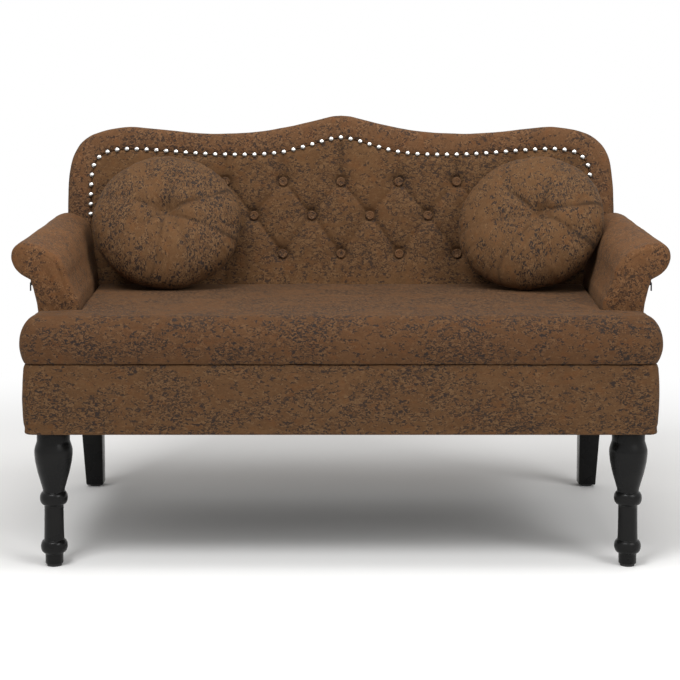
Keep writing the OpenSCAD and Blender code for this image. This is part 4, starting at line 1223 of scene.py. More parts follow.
@dataclass
class SeatBox:
    """Padded apron panels around the rails and the dust cover under them."""

    half_width: float = 525.0
    front_y: float = -312.5
    rear_y: float = 239.5
    frame_x: float = 511.0
    frame_front: float = -298.5
    frame_rear: float = 235.5
    low: float = 234.0
    high: float = 348.3
    corner: float = 16.0
    bulge: float = 3.5
    cover_x: float = 509.5
    cover_y: tuple[float, float] = (-297.0, 234.0)
    cover_z: float = 236.0
    cover_sag: float = 1.1
    wave_deep: float = 1.6
    gather_deep: float = 0.9
    rear_wave_deep: float = 1.2
    leg_x: tuple[float, float] = (458.8, 509.2)
    leg_y: tuple[tuple[float, float], ...] = ((-290.6, -240.4), (188.4, 233.8))
    slack: SoftNoise = SoftNoise(11)

    def profile(self) -> list[tuple[float, float]]:
        """Outward swell and height of a panel, from its rolled bottom to its top seam.

        Returns:
            Pairs of swell and height.
        """
        tall = self.high - self.low
        roll = [
            (-7.0, 0.2), (-5.0, -0.6), (-3.4, -2.2), (-1.4, -2.8),
            (0.3, -1.9), (0.9, 0.3), (0.5, 3.0), (0.35, 8.0),
        ]
        middle = [
            (0.35 + self.bulge * math.sin(math.pi * t) ** 0.8, tall * t)
            for t in np.linspace(0.12, 0.93, 20)
        ]
        top = [(0.2, tall - 4.0), (-0.8, tall - 1.6), (-2.6, tall - 0.3), (-7.0, tall)]
        return [(swell, self.low + z) for swell, z in [*roll, *middle, *top]]

    def band(self, name: str, path: np.ndarray, inner: np.ndarray) -> bpy.types.Object:
        """Sweep the panel's profile along a path in plan.

        Args:
            name: Name of the panel.
            path: Outer line of the panel in plan.
            inner: Line of the panel's inner face, one point for each of the path's.

        Returns:
            The panel.
        """
        outward = -left_normals(path)
        rows = []
        levels = (self.high - 0.1, lerp(self.low, self.high, 0.5), self.low + 0.4)
        for place, normal, inside in zip(path, outward, inner):
            row = [(*(place + normal * swell), z) for swell, z in self.profile()]
            rows.append(row + [(*inside, z) for z in levels])
        panel = loft(name, rows)
        crumple(panel, self.ripple)
        return panel

    def ripple(self, points: np.ndarray, normals: np.ndarray) -> np.ndarray:
        """Slack of the cloth, with small gathers under the seam.

        Args:
            points: Points of the piece in millimetres.
            normals: Their normals; not used.

        Returns:
            Outward move of each point in millimetres.
        """
        outside = ease((np.abs(points[:, 0]) - self.frame_x) / 6)
        outside = outside + ease((self.frame_front - points[:, 1]) / 6)
        share = (points[:, 2] - self.low) / (self.high - self.low)
        waves = self.slack.slack(points, (130, 130, 70), 3) * self.wave_deep
        gathers = self.slack.slack(points, (17, 17, 60), 1) * self.gather_deep * ease((share - 0.8) / 0.2)
        return (waves + gathers) * np.clip(outside, 0, 1) * ease(share / 0.06)

    def rear_panel(self) -> bpy.types.Object:
        """Thin rear panel, with rounded edges and a little slack.

        Returns:
            The panel.
        """
        tall = self.high - self.low
        flat = [(0.0, tall * t) for t in np.linspace(0.06, 0.96, 18)]
        outside = [(-2.2, 0.2), (-0.6, 0.6), (0.0, 2.5), *flat, (-0.6, tall - 0.8), (-2.2, tall - 0.1)]
        panel = loft("apron_back_cloth", [
            [*[(x, self.rear_y + swell, self.low + z) for swell, z in outside],
             (x, self.frame_rear, self.high - 0.2), (x, self.frame_rear, self.low + 0.4)]
            for x in np.linspace(self.half_width, -self.half_width, 150)
        ])
        crumple(panel, self.rear_slack)
        return panel

    def rear_slack(self, points: np.ndarray, normals: np.ndarray) -> np.ndarray:
        """Slack of the rear panel, none on its inner face."""
        outside = ease((points[:, 1] - self.frame_rear - 1) / 2)
        return self.slack.slack(points, (150, 60, 70), 3) * self.rear_wave_deep * outside

    def front_line(self) -> tuple[np.ndarray, np.ndarray]:
        """Outer and inner lines of the front panel, round both corners.

        Returns:
            Both lines, with an inner point for each outer one.
        """
        round_x, round_y = -self.half_width + self.corner, self.front_y + self.corner
        left = [
            (round_x + self.corner * math.cos(a), round_y + self.corner * math.sin(a))
            for a in np.radians(np.linspace(180, 270, 12))
        ]
        right = [(-x, y) for x, y in reversed(left)]
        middle = [(x, self.front_y) for x in np.linspace(left[-1][0], right[0][0], 150)[1:-1]]
        end_y = self.frame_front - 0.05
        outer = np.array([
            (-self.half_width, end_y), *left[2:], *middle, *right[:-2], (self.half_width, end_y),
        ])
        inner = outer.copy()
        inner[:, 0] = np.clip(outer[:, 0], -self.frame_x, self.frame_x)
        inner[:, 1] = self.frame_front
        inner[0, 0], inner[-1, 0] = -self.half_width + 4, self.half_width - 4
        return outer, inner

    def dust_cover(self) -> bpy.types.Object:
        """Thin black cloth under the rails with openings for the legs.

        Returns:
            The cover, given its thickness by a modifier.
        """
        near, far = self.leg_x
        x_lines = np.unique([*np.linspace(-self.cover_x, self.cover_x, 58), -far, -near, near, far])
        y_lines = np.unique([*np.linspace(*self.cover_y, 32), *itertools.chain(*self.leg_y)])
        grid = np.array([[(x, y, self.cover_z) for x in x_lines] for y in y_lines])
        middle, half = lerp(*self.cover_y, 0.5), (self.cover_y[1] - self.cover_y[0]) / 2
        along = np.cos(grid[..., 0] / self.cover_x * math.pi / 2)
        share = along * np.cos((grid[..., 1] - middle) / half * math.pi / 2)
        grid[..., 2] -= self.cover_sag * np.clip(share, 0, 1)
        points = grid.reshape(-1, 3)
        faces = []
        for face in grid_faces(len(y_lines), len(x_lines)):
            x, y = points[face][:, 0].mean(), points[face][:, 1].mean()
            if not (near < abs(x) < far and any(low < y < high for low, high in self.leg_y)):
                faces.append(face)
        cover = make_piece("dust_cover_cloth", points, faces)
        wall = cover.modifiers.new("Thickness", "SOLIDIFY")
        wall.thickness, wall.offset = 0.5 * MM, 0.0
        return cover

    def build(self, stock: Stock) -> None:
        """Build and dress the panels and the dust cover.

        Args:
            stock: All materials of the bench.
        """
        front = self.band("apron_front_padded", *self.front_line())
        ys = np.linspace(self.frame_front + 0.05, self.frame_rear - 0.05, 84)
        lines = [np.column_stack([np.full(len(ys), x), ys]) for x in (self.half_width, self.frame_x)]
        side = self.band("apron_side_padded_right", *lines)
        rear = self.rear_panel()
        for piece, node in (
            (front, "apron_front"), (side, "apron_side_right"),
            (mirrored(side, "apron_side_padded_left"), "apron_side_left"), (rear, "apron_back"),
        ):
            dress(piece, stock["apron_suede"])
            seat_piece(piece, BODY, node)
        cover = dress(self.dust_cover(), stock["dust_cloth"])
        seat_piece(cover, BODY, "dust_cover")


# The seat cushion


@dataclass
class SeatCushion:
    """Seat cushion: wide rounded front, narrow between the arms."""

    base: float = 348.5
    half_width: float = 534.0
    front_y: float = -322.5
    corner: float = 24.0
    height: float = 80.0
    crown: float = 4.0
    crown_reach: float = 190.0
    full_height: float = 32.0
    draw: float = 8.0
    edge: float = 30.0
    ear: float = 90.0
    arm_front: float = -229.0
    arm_in_front: float = 444.0
    arm_in_rear: float = 470.0
    arm_rear: float = 167.5
    back_y: float = 135.2
    lean: float = math.radians(10)
    inner_round: float = 8.0
    wave_deep: float = 2.3
    gather_deep: float = 1.3
    pull_deep: float = 1.1
    slack: SoftNoise = SoftNoise(23)

    def sides(self) -> list[tuple[float, float]]:
        """Inset and height of the rings from the seam up to the inner edge of the ears.

        Returns:
            Pairs of inset and height.
        """
        low = [(self.draw * (1 - t) ** 2, self.full_height * t) for t in np.linspace(0, 1, 10)[:-1]]
        rise = self.height - self.full_height
        edge = [
            (self.edge * (1 - math.cos(a)), self.full_height + rise * math.sin(a))
            for a in np.radians(np.linspace(0, 90, 19))
        ]
        flat = [(d, self.top_at(d)) for d in np.linspace(self.edge + 5, self.ear, 12)]
        return [*low, *edge, *flat]

    def top_at(self, inset: float) -> float:
        """Height of the cushion's top at a distance inside its outline."""
        share = min(1.0, max(0.0, (inset - self.edge) / self.crown_reach))
        return self.height + self.crown * math.sin(math.pi / 2 * share)

    def arm_x(self, y: np.ndarray) -> np.ndarray:
        """Inner side of the arm's foot at a depth."""
        share = (y - self.arm_front) / (self.arm_rear - self.arm_front)
        return self.arm_in_front + (self.arm_in_rear - self.arm_in_front) * np.clip(share, 0, 2)

    def line(self, inset: float) -> np.ndarray:
        """Plan line of one ring: left ear, corner, front, corner, right ear.

        Args:
            inset: Distance inside the cushion's outline.

        Returns:
            Points of the line.
        """
        radius = max(2.0, self.corner - inset / 2)
        x, y = -self.half_width + inset + radius, self.front_y + inset + radius
        shares = (0, 0.03, 0.08, 0.15, 0.25, 0.4, 0.55, 0.7, 0.85)
        ear = [(x - radius, lerp(self.arm_front, y, t)) for t in shares]
        angles = np.radians(np.linspace(180, 270, 11))
        turn = [(x + radius * math.cos(a), y + radius * math.sin(a)) for a in angles]
        steps = np.concatenate([(0.0035, 0.008, 0.0135, 0.02), np.linspace(0.0265, 0.5, 96)])
        half = [(lerp(x, -x, t), y - radius) for t in steps]
        left = [*ear, *turn, *half]
        return np.array([*left, *[(-a, b) for a, b in reversed(left[:-1])]])

    def inner_drop(self, x: np.ndarray, y: np.ndarray, rear: float) -> np.ndarray:
        """Rounding of the top edge beside the arms and the back.

        Args:
            x: Distance sideways.
            y: Depth.
            rear: Depth of the cushion's rear edge.

        Returns:
            Drop of the top at each place.
        """
        beside = np.maximum(0, self.arm_x(y) - np.abs(x))
        before = np.maximum(0, self.arm_front - y)
        near = np.minimum(np.hypot(beside, before), np.maximum(0, rear - y))
        gap = np.clip(self.inner_round - near, 0, self.inner_round)
        return self.inner_round - np.sqrt(np.maximum(0, self.inner_round**2 - gap**2))

    def points(self) -> tuple[np.ndarray, list[list[int]]]:
        """Points and faces of the whole closed cushion.

        Returns:
            Points in millimetres, and faces as lists of point numbers.
        """
        rear_y = self.back_y + self.height * math.tan(self.lean)
        rings = []
        for inset, height in self.sides():
            line = self.line(inset)
            drop = self.inner_drop(line[:, 0], line[:, 1], rear_y) * ease((height - 45) / 30)
            rings.append(np.column_stack([line, np.full(len(line), height) - drop]))
        count = len(rings[0])
        last = self.line(self.ear)
        shares = np.concatenate([np.linspace(0, 0.965, 78)[1:], (0.975, 0.984, 0.991, 0.996, 1.0)])
        for share in shares:
            y = last[:, 1] + (rear_y - last[:, 1]) * share
            x = last[:, 0] * self.arm_x(y) / self.arm_in_front
            top = np.array([self.top_at(v - self.front_y) for v in y])
            rings.append(np.column_stack([x, y, top - self.inner_drop(x, y, rear_y)]))
        rows = len(rings)
        points = np.array(rings).reshape(-1, 3)
        faces = grid_faces(rows, count)
        rim = [r * count for r in range(rows)] + list(range((rows - 1) * count + 1, rows * count))
        rim += [r * count + count - 1 for r in range(rows - 2, -1, -1)]
        skirts = []
        for share in (0.66, 0.33, 0.0):
            level = points[rim].copy()
            level[:, 2] *= share
            behind = self.back_y + level[:, 2] * math.tan(self.lean)
            level[:, 1] = np.minimum(level[:, 1], behind)
            skirts.append(level)
        start = len(points)
        points = np.vstack([points, *skirts])
        lines = [rim, *[list(range(start + k * len(rim), start + (k + 1) * len(rim))) for k in range(3)]]
        for upper, lower in zip(lines, lines[1:]):
            faces += [[upper[i], upper[i + 1], lower[i + 1], lower[i]] for i in range(len(rim) - 1)]
        faces.append([*range(count - 1, -1, -1), *lines[-1][1:-1]])
        points[:, 2] += self.base + 0.1
        return points, faces

    def settle(self, points: np.ndarray, normals: np.ndarray) -> np.ndarray:
        """Slack of the cover: soft hollows, gathers at the seam and pulls at the arms.

        Args:
            points: Points of the piece in millimetres.
            normals: Their normals; not used.

        Returns:
            Outward move of each point in millimetres.
        """
        high = points[:, 2] - self.base
        outside = ease((self.arm_front + 6 - points[:, 1]) / 30)
        top = ease((high - 66) / 12)
        waves = self.slack.slack(points, (150, 120, 60), 3) * self.wave_deep
        gathers = self.slack.slack(points + 40, (22, 60, 26), 2) * self.gather_deep
        gathers = gathers * np.exp(-((high / 14) ** 2)) * outside
        corner = np.hypot(np.abs(points[:, 0]) - self.arm_in_front, points[:, 1] - self.arm_front)
        angle = np.arctan2(points[:, 1] - self.arm_front, np.abs(points[:, 0]) - self.arm_in_front)
        pulls = np.cos(angle * 9) * self.pull_deep * np.exp(-corner / 60) * ease(corner / 30) * top
        near = np.minimum(np.maximum(0, self.arm_x(points[:, 1]) - np.abs(points[:, 0])) / 12, 1)
        free = np.where(points[:, 1] > self.arm_front - 8, near, 1)
        return (waves * 0.6 + pulls) * free * ease(high / 10) - 0.8 + gathers

    def build(self, stock: Stock) -> None:
        """Build and dress the cushion.

        Args:
            stock: All materials of the bench.
        """
        points, faces = self.points()
        cushion = make_piece("seat_cushion_cover", points, faces)
        crumple(cushion, self.settle)
        moved = read_points(cushion.data)
        behind = self.back_y + (moved[:, 2] - self.base) * math.tan(self.lean)
        moved[:, 1] = np.minimum(moved[:, 1], behind)
        between = moved[:, 1] > self.arm_front - 0.2
        limit = np.where(between, self.arm_x(moved[:, 1]), self.half_width + 4)
        moved[:, 0] = np.clip(moved[:, 0], -limit, limit)
        moved[:, 2] = np.clip(moved[:, 2], self.base + 0.1, self.base + self.height + self.crown + 0.2)
        write_points(cushion.data, moved)
        dress(cushion, stock["seat_suede"])
        seat_piece(cushion, BODY, "seat_cover")


# The arms


@dataclass
class Arms:
    """Rolled arms that flare outwards, with a zip in the crease under the roll."""

    base: float = 348.5
    front_y: float = -228.5
    rear_y: float = 167.5
    in_front: float = 444.5
    in_rear: float = 470.5
    out_x: float = 517.5
    foot: float = 73.0
    nose_x: float = 562.5
    crease_x: float = 530.0
    crease_high: float = 130.0
    high: float = 193.0
    rise: float = 26.0
    crown: float = 2.2
    hub_share: float = 0.78
    edge: float = 10.0
    back_y: float = 134.8
    lean: float = math.radians(10)
    zip_start: float = -216.5
    zip_end: float = 97.5
    zip_x: float = 524.1
    wave_deep: float = 1.9
    slack: SoftNoise = SoftNoise(37)

    def roll(self, t: float) -> np.ndarray:
        """Inner side, roll and nose of the section at a share of the depth.

        Args:
            t: Share of the arm's depth, from its front.

        Returns:
            Points of the curve, across and up.
        """
        inner = lerp(self.in_front, self.in_rear, t)
        w, h, nose = self.foot, self.high, self.nose_x
        top = h + self.rise * t
        drop = h * lerp(0.13, 0.14, t)
        return through(
            [
                (inner, 0), (inner + 0.01 * w, h * (0.435 + 0.041 * t)),
                (inner + w * lerp(0.123, 0.041, t), h * (0.549 + 0.052 * t)),
                (inner + w * lerp(0.26, 0.11, t), h * (0.679 + 0.062 * t)),
                (inner + w * lerp(0.33, 0.164, t), h * (0.782 + 0.104 * t)),
                (inner + w * lerp(0.534, 0.288, t), top - h * (0.114 - 0.016 * t)),
                (inner + w * lerp(0.918, 0.575, t), top - h * (0.031 - 0.01 * t)),
                (nose - w * lerp(0.288, 0.37, t), top), (nose - w * 0.068, top - drop * 0.35),
                (nose, top - drop), (nose - w * 0.07, top - drop - h * 0.088),
                (nose - w * 0.215, top - drop - h * 0.149), (self.crease_x, self.crease_high),
            ], 6)

    def side(self, open_zip: float) -> np.ndarray:
        """Outer side from the crease down to the deck, with the opening of the zip.

        Args:
            open_zip: 1 inside the zip's opening and 0 outside it.

        Returns:
            Points of the side, across and up.
        """
        out = self.crease_x - self.out_x
        curve = through(
            [(self.crease_x, self.crease_high), (self.crease_x - 0.56 * out, self.crease_high * 0.82),
             (self.out_x, self.crease_high * 0.57), (self.out_x, 0)], 6)
        heights = [129.4, 129, 124, 119, 118.4, 113, 107, 98, 88, 76, 62, 48, 34, 20, 8, 0]
        x = np.interp(heights, curve[::-1, 1], curve[::-1, 0])
        for k in (1, 2, 3):
            x[k] = lerp(x[k], self.zip_x, open_zip)
        return np.column_stack([x, heights])

    def section(self, t: float, open_zip: float) -> np.ndarray:
        """Closed section of the arm: roll first, then the outer side."""
        return np.vstack([self.roll(t), self.side(open_zip)])

    def ring(self, y: float, inset: float) -> np.ndarray:
        """One ring of the loft at a depth, drawn in by an inset.

        Args:
            y: Depth of the ring.
            inset: Distance that the outline is drawn in.

        Returns:
            Points of the ring.
        """
        t = (y - self.front_y) / (self.rear_y - self.front_y)
        open_zip = float(ease((y - self.zip_start + 1) / 2) * ease((self.zip_end + 1 - y) / 2))
        line = self.section(t, open_zip)
        if inset:
            line = line - left_normals(line) * inset
            line[:, 1] = np.maximum(line[:, 1], 0)
        return np.column_stack([line[:, 0], np.full(len(line), y), self.base + line[:, 1]])

    def form(self) -> bpy.types.Object:
        """Loft the right arm from its crowned front back to the leaning back.

        Returns:
            The arm.
        """
        turn = np.radians(np.linspace(0, 90, 9))
        rings = [
            self.ring(
                self.front_y + self.edge * (1 - math.sin(a)) * 1.15 + self.crown,
                self.edge * (1 - math.cos(a)))
            for a in reversed(turn)
        ]
        first = rings[0]
        hub_high = self.base + self.high * self.hub_share
        hub = np.array([lerp(self.in_front, self.nose_x, 0.5), self.front_y, hub_high])
        face = []
        for share in (0.05, 0.12, 0.2, 0.28, 0.36, 0.44, 0.52, 0.6, 0.68, 0.76, 0.83, 0.89, 0.94, 0.98):
            ring = hub + (first - hub) * share
            ring[:, 1] = self.front_y + self.crown * share**3 + 0.3
            face.append(ring)
        body = [*face, *rings]
        start_y = rings[-1][0][1]
        height = self.ring(self.rear_y, 0)[:, 2]
        for _ in range(4):
            stop = self.back_y + (height - self.base) * math.tan(self.lean)
            height = np.array([self.ring(y, 0)[i, 2] for i, y in enumerate(stop)])
        for t in (0.004, 0.009, *np.linspace(0.02, 1, 84)):
            depths = start_y + (stop - start_y) * t
            levels = np.linspace(depths.min(), depths.max(), 7) if np.ptp(depths) > 0.5 else depths[:1]
            known = np.array([self.ring(y, 0) for y in levels])
            body.append([
                (np.interp(y, levels, known[:, i, 0]), y, np.interp(y, levels, known[:, i, 2]))
                for i, y in enumerate(depths)
            ])
        count = len(first)
        points = np.array(body).reshape(-1, 3)
        faces = grid_faces(len(body), count, ring=True)
        start = len(points)
        points = np.vstack([points, [hub + (0, 0.3, 0)], [points[-count:].mean(0)]])
        last = (len(body) - 1) * count
        faces += [[start, (k + 1) % count, k] for k in range(count)]
        faces += [[start + 1, last + k, last + (k + 1) % count] for k in range(count)]
        arm = make_piece("arm_cover_padded_right", points, faces)
        crumple(arm, self.settle)
        return arm

    def settle(self, points: np.ndarray, normals: np.ndarray) -> np.ndarray:
        """Slack of the cover and upright folds on the front; the inner side is drawn in a little.

        Args:
            points: Points of the piece in millimetres.
            normals: Their normals.

        Returns:
            Outward move of each point in millimetres.
        """
        high = points[:, 2] - self.base
        crease = np.exp(-(((high - 124) / 12) ** 2)) * ease((points[:, 0] - 515) / 8)
        contact = ease((self.rear_y - points[:, 1]) / 60) * ease(high / 12)
        waves = self.slack.slack(points, (80, 130, 80), 3) * self.wave_deep
        front = ease((-normals[:, 1] - 0.25) / 0.5)
        across = points[:, 0] - self.in_front - ease((high - 90) / 70) * 22
        folds = sum(
            depth * np.exp(-(((across - place + 3 * np.sin(high / 37)) / width) ** 2))
            for place, width, depth in ((14, 4.5, -1.5), (25, 5.0, 0.9), (38, 6.0, -0.9))
        )
        folds *= front * ease((high - 82) / 20) * ease((176 - high) / 30)
        move = waves * contact * (1 - crease) + folds - 0.6
        inner = (normals[:, 0] < -0.3) & (normals[:, 1] > -0.5)
        return np.where(inner, np.minimum(move, -0.2), move)

    def build(self, stock: Stock) -> None:
        """Build and dress both arms.

        Args:
            stock: All materials of the bench.
        """
        right = self.form()
        left = mirrored(right, "arm_cover_padded_left")
        for arm, node in ((right, "arm_cover_right"), (left, "arm_cover_left")):
            dress(arm, stock["arm_suede"])
            seat_piece(arm, BODY, node)


# The zips under the arm rolls


class Side(Enum):
    """The two sides of the bench, as the sign of X."""

    RIGHT = 1
    LEFT = -1

    @property
    def word(self) -> str:
        """The side's word in the names of pieces and nodes."""
        return self.name.lower()


@dataclass
class Zips:
    """Zip tapes with their teeth; the sliders and pulls are the solids themselves."""

    x: float = 524.3
    low: float = 467.8
    high: float = 477.2
    start: float = -216.2
    end: float = 97.2
    thick: float = 2.2
    pitch: float = 1.9
    margin: float = 6.0
    tooth: tuple[float, float, float] = (0.35, 0.5, 1.7)
    taper: float = 0.6

    def tape(self, side: Side) -> bpy.types.Object:
        """Woven tape with rounded edges for one arm.

        Args:
            side: Side of the bench.

        Returns:
            The tape.
        """
        face, raised, rim = self.thick, self.thick + 0.4, self.thick - 0.5
        profile = [
            (0, 0.2), (0, 9.2), (rim, 9.3), (face, 8.6), (face, 6.0),
            (raised, 5.4), (raised, 4.0), (face, 3.4), (face, 0.8), (rim, 0.1),
        ]
        return loft(f"zip_tape_woven_{side.word}", [
            [(side.value * (self.x + x), y, self.low + z) for x, z in profile]
            for y in np.linspace(self.start, self.end, 60)
        ])

    def teeth(self, side: Side, tree: PathTree, finish: bpy.types.Material) -> bpy.types.Object:
        """Row of teeth on the tape of one arm.

        Args:
            side: Side of the bench.
            tree: Geometry nodes that lay the pieces out.
            finish: Material of the pieces.

        Returns:
            The row of teeth as one piece.
        """
        middle = lerp(self.low, self.high, 0.5)
        x = side.value * (self.x + self.thick + self.tooth[0])
        ends = (self.start + self.margin, self.end - self.margin)
        path = make_guide("zip_line", np.array([(x, y, middle) for y in ends]), joined=True)
        corners = [
            (a * self.tooth[0], b * self.tooth[1] * (1 if c < 0 else self.taper), c * self.tooth[2])
            for a, b, c in itertools.product((-1, 1), repeat=3)
        ]
        sides = [[0, 1, 3, 2], [4, 6, 7, 5], [0, 4, 5, 1], [2, 3, 7, 6], [0, 2, 6, 4], [1, 5, 7, 3]]
        tooth = make_piece("zip_tooth", np.array(corners), sides, smooth=False)
        count = int((self.end - self.start - 2 * self.margin) / self.pitch)
        return tree.lay(
            f"zip_teeth_{side.word}", path, Piece=tooth, Count=count, Lean=0.0, Hand_Set=0.0, Seed=3,
            Finish=finish)

    def build(self, stock: Stock, tree: PathTree) -> None:
        """Build and dress the tapes and the teeth of both arms.

        Args:
            stock: All materials of the bench.
            tree: Geometry nodes that lay the pieces out.
        """
        for side in Side:
            tape = dress(self.tape(side), stock["zip_cloth"])
            seat_piece(tape, BODY, f"zip_tape_{side.word}")
            teeth = self.teeth(side, tree, stock["black_metal"])
            seat_piece(teeth, BODY)


# The back


@dataclass
class LeaningBack:
    """Padded border, nails, tufted field with buttons, and the outside back."""

    back_y: float = 135.7
    deck: float = 348.5
    lean: float = math.radians(10)
    half: float = 534.5
    shoulder_z: float = 297.0
    top_line: tuple[tuple[float, float], ...] = (
        (534.5, 215), (534.5, 250), (534.0, 280), (531.5, 308), (526, 335), (512.5, 360), (494, 376),
        (475, 384.2), (453, 390), (414, 394.6), (374, 391.6), (335, 387.2), (296, 383.4), (256, 381.2),
        (217, 381.6), (178, 383.9), (138, 388.2), (99, 395.4), (59, 405.3), (36, 411.6), (18, 416),
        (0, 417.6),
    )
    nail_curve: tuple[tuple[float, float], ...] = (
        (487.4, 220), (487.6, 258), (487.2, 290), (483.5, 315), (473, 332), (456.5, 342.5),
        (437, 346.6), (407, 348), (367, 345.8), (327, 342.8), (287, 339.6), (247, 337.3), (200, 336.5),
        (168, 336.9), (140, 338.6), (112, 342.2), (82, 349.6), (50, 359.2), (24, 366.8), (0, 370.8),
    )
    field_in: float = 45.0
    field_low: float = 62.0
    field_rear: float = 15.8
    field_pitch: float = 2.5
    field_rows: int = 136
    tuft_deepest: float = 13.2
    dip_deep: float = 5.2
    dip_wide: float = 18.0
    ring_at: float = 9.6
    ring_deep: float = 3.2
    ring_wide: float = 3.2
    puff_deep: float = 4.0
    edge_deep: float = 3.0
    edge_wide: float = 16.0
    groove_deep: float = 1.8
    groove_wide: float = 2.0
    fold_deep: float = 4.0
    button_depth: float = 12.0
    half_step: float = 56.6
    row_heights: tuple[float, ...] = (143.0, 218.0, 284.5)
    row_counts: tuple[int, ...] = (3, 4, 3)
    nail_low: float = 220.0
    nail_pitch: float = 19.4
    side_width: float = 47.1
    nail_in: float = 44.3
    nail_pull: float = 2.6
    pull_wide: float = 7.5
    rear: float = 102.2
    rear_round: float = 7.0
    rear_inner: float = 92.4
    rear_pitch: float = 7.0
    rear_rows: int = 70
    nail_radius: float = 4.6
    nail_height: float = 2.8
    nail_depth: float = 1.1
    slack: SoftNoise = SoftNoise(51)

    def place(self, x: np.ndarray, depth: np.ndarray, z: np.ndarray) -> np.ndarray:
        """Turn places on the leaning back into places in the bench's frame.

        Args:
            x: Distance sideways.
            depth: Depth behind the fullest padding.
            z: Height up the lean.

        Returns:
            Points of the bench's frame.
        """
        c, s = math.cos(self.lean), math.sin(self.lean)
        x, depth, z = np.broadcast_arrays(x, depth, z)
        return np.stack([x, self.back_y + depth * c + z * s, self.deck - depth * s + z * c], axis=-1)

    def both_sides(self, right: np.ndarray) -> np.ndarray:
        """Line that ends on the middle, carried on over the left side."""
        return np.vstack([right, right[-2::-1] * (-1, 1)])

    def outline(self) -> np.ndarray:
        """Outline from the right foot over the crest to the left foot."""
        foot = [(self.half, z) for z in (0, 22, *range(34, 212, 10))]
        return self.both_sides(np.vstack([foot, through(self.top_line, 8)]))

    def nail_line(self) -> np.ndarray:
        """Line of the nails: the groove above the arms."""
        return self.both_sides(through(self.nail_curve, 8))

    def border_width(self) -> np.ndarray:
        """Distance from each point of the outline to the line of the nails.

        Returns:
            One distance for each point of the outline.
        """
        line = self.outline()
        near = nearest(line[:, 0], line[:, 1], self.nail_line())
        return np.where(line[:, 1] < self.nail_low + 10, self.side_width, near)

    def inset(self, distance: float) -> np.ndarray:
        """Outline drawn in by a distance, where the nails lie at nail_in."""
        line = self.outline()
        return line + left_normals(line) * (distance * self.border_width() / self.nail_in)[:, None]

    def nail_places(self) -> np.ndarray:
        """Places of all nails along their line.

        Returns:
            Pairs of sideways place and height up the lean.
        """
        line = self.nail_line()
        way = np.concatenate([[0], np.cumsum(np.linalg.norm(np.diff(line, axis=0), axis=1))])
        steps = np.linspace(0, way[-1], round(way[-1] / self.nail_pitch) + 1)
        return np.stack([np.interp(steps, way, line[:, k]) for k in (0, 1)], axis=1)

    def tufts(self) -> np.ndarray:
        """Places of the button tufts.

        Returns:
            Pairs of sideways place and height up the lean.
        """
        spots = []
        for row, (z, count) in enumerate(zip(self.row_heights, self.row_counts)):
            shift = row % 2
            numbers = range(-count, count + 1 - shift)
            spots += [((2 * k + shift) * self.half_step, z) for k in numbers]
        return np.array(spots)

    def rows_up(self, z: np.ndarray) -> np.ndarray:
        """Height counted in rows of buttons: 0, 1 and 2 on the rows."""
        low, mid, high = self.row_heights
        return np.where(z < mid, (z - low) / (mid - low), 1 + (z - mid) / (high - mid))

    def sheet_noise(
        self, x: np.ndarray, z: np.ndarray, size: Sequence[float], layers: int, far: float = 0.0,
    ) -> np.ndarray:
        """Soft noise over a sheet in the back's shape.

        Args:
            x: Distance sideways.
            z: Height up the lean.
            size: Size of the largest bumps in millimetres.
            layers: Number of layers.
            far: Place of the sheet in the noise.

        Returns:
            One value for each place of the sheet.
        """
        points = np.stack([x, 0 * x + far, z], -1).reshape(-1, 3)
        return self.slack.slack(points, size, layers).reshape(x.shape)

    def border(self) -> bpy.types.Object:
        """Sweep the padded border along the outline.

        Returns:
            The border.
        """
        front = through([
            (44.3, 15.6), (44.25, 6.0), (43.5, 3.2), (38, 1.5), (30, 0.8), (23.65, 0.5), (17, 0.9),
            (11, 2), (6.5, 4.2), (3.2, 7.4), (1, 11), (0, 15.5),
        ], 3)
        side = [(0.0, y) for y in np.linspace(19, 88, 14)]
        rest = [(0.5, 90.8), (2.0, 91.8), (4.4, 91.8), (4.4, 55.0), (4.4, 16.4), (20.0, 16.0), (34.0, 16.0)]
        section = [*map(tuple, front), *side, *rest]
        line = self.outline()
        normal = left_normals(line) * (self.border_width() / self.nail_in)[:, None]
        nails = self.nail_places()
        rows = np.empty((len(line), len(section), 3))
        for k, (distance, depth) in enumerate(section):
            flat = line + normal * distance
            z = flat[:, 1].copy()
            z[0] = z[-1] = depth * math.tan(self.lean) + 0.2
            depths = np.full(len(flat), depth)
            if k < len(front):
                near = nearest(flat[:, 0], flat[:, 1], nails)
                reach = ease((distance - 22) / 16) * (1 - ease((distance - 42) / 3))
                above = ease((flat[:, 1] - self.nail_low + 20) / 20)
                pull = reach * above * self.nail_pull
                depths = depths + pull * (np.exp(-((near / self.pull_wide) ** 2)) - 0.35)
            rows[:, k] = self.place(flat[:, 0], depths, z)
        border = loft("back_border_padded", rows)
        crumple(border, self.border_slack)
        return border

    def border_slack(self, points: np.ndarray, normals: np.ndarray) -> np.ndarray:
        """Slack of the border's cloth, none low down where it meets the arms.

        Args:
            points: Points of the piece in millimetres.
            normals: Their normals; not used.

        Returns:
            Outward move of each point in millimetres.
        """
        high = ease((points[:, 2] - self.deck - 60) / 60)
        waves = self.slack.slack(points, (75, 75, 60), 3) * 1.5
        return (waves - 0.35) * 0.8 * high

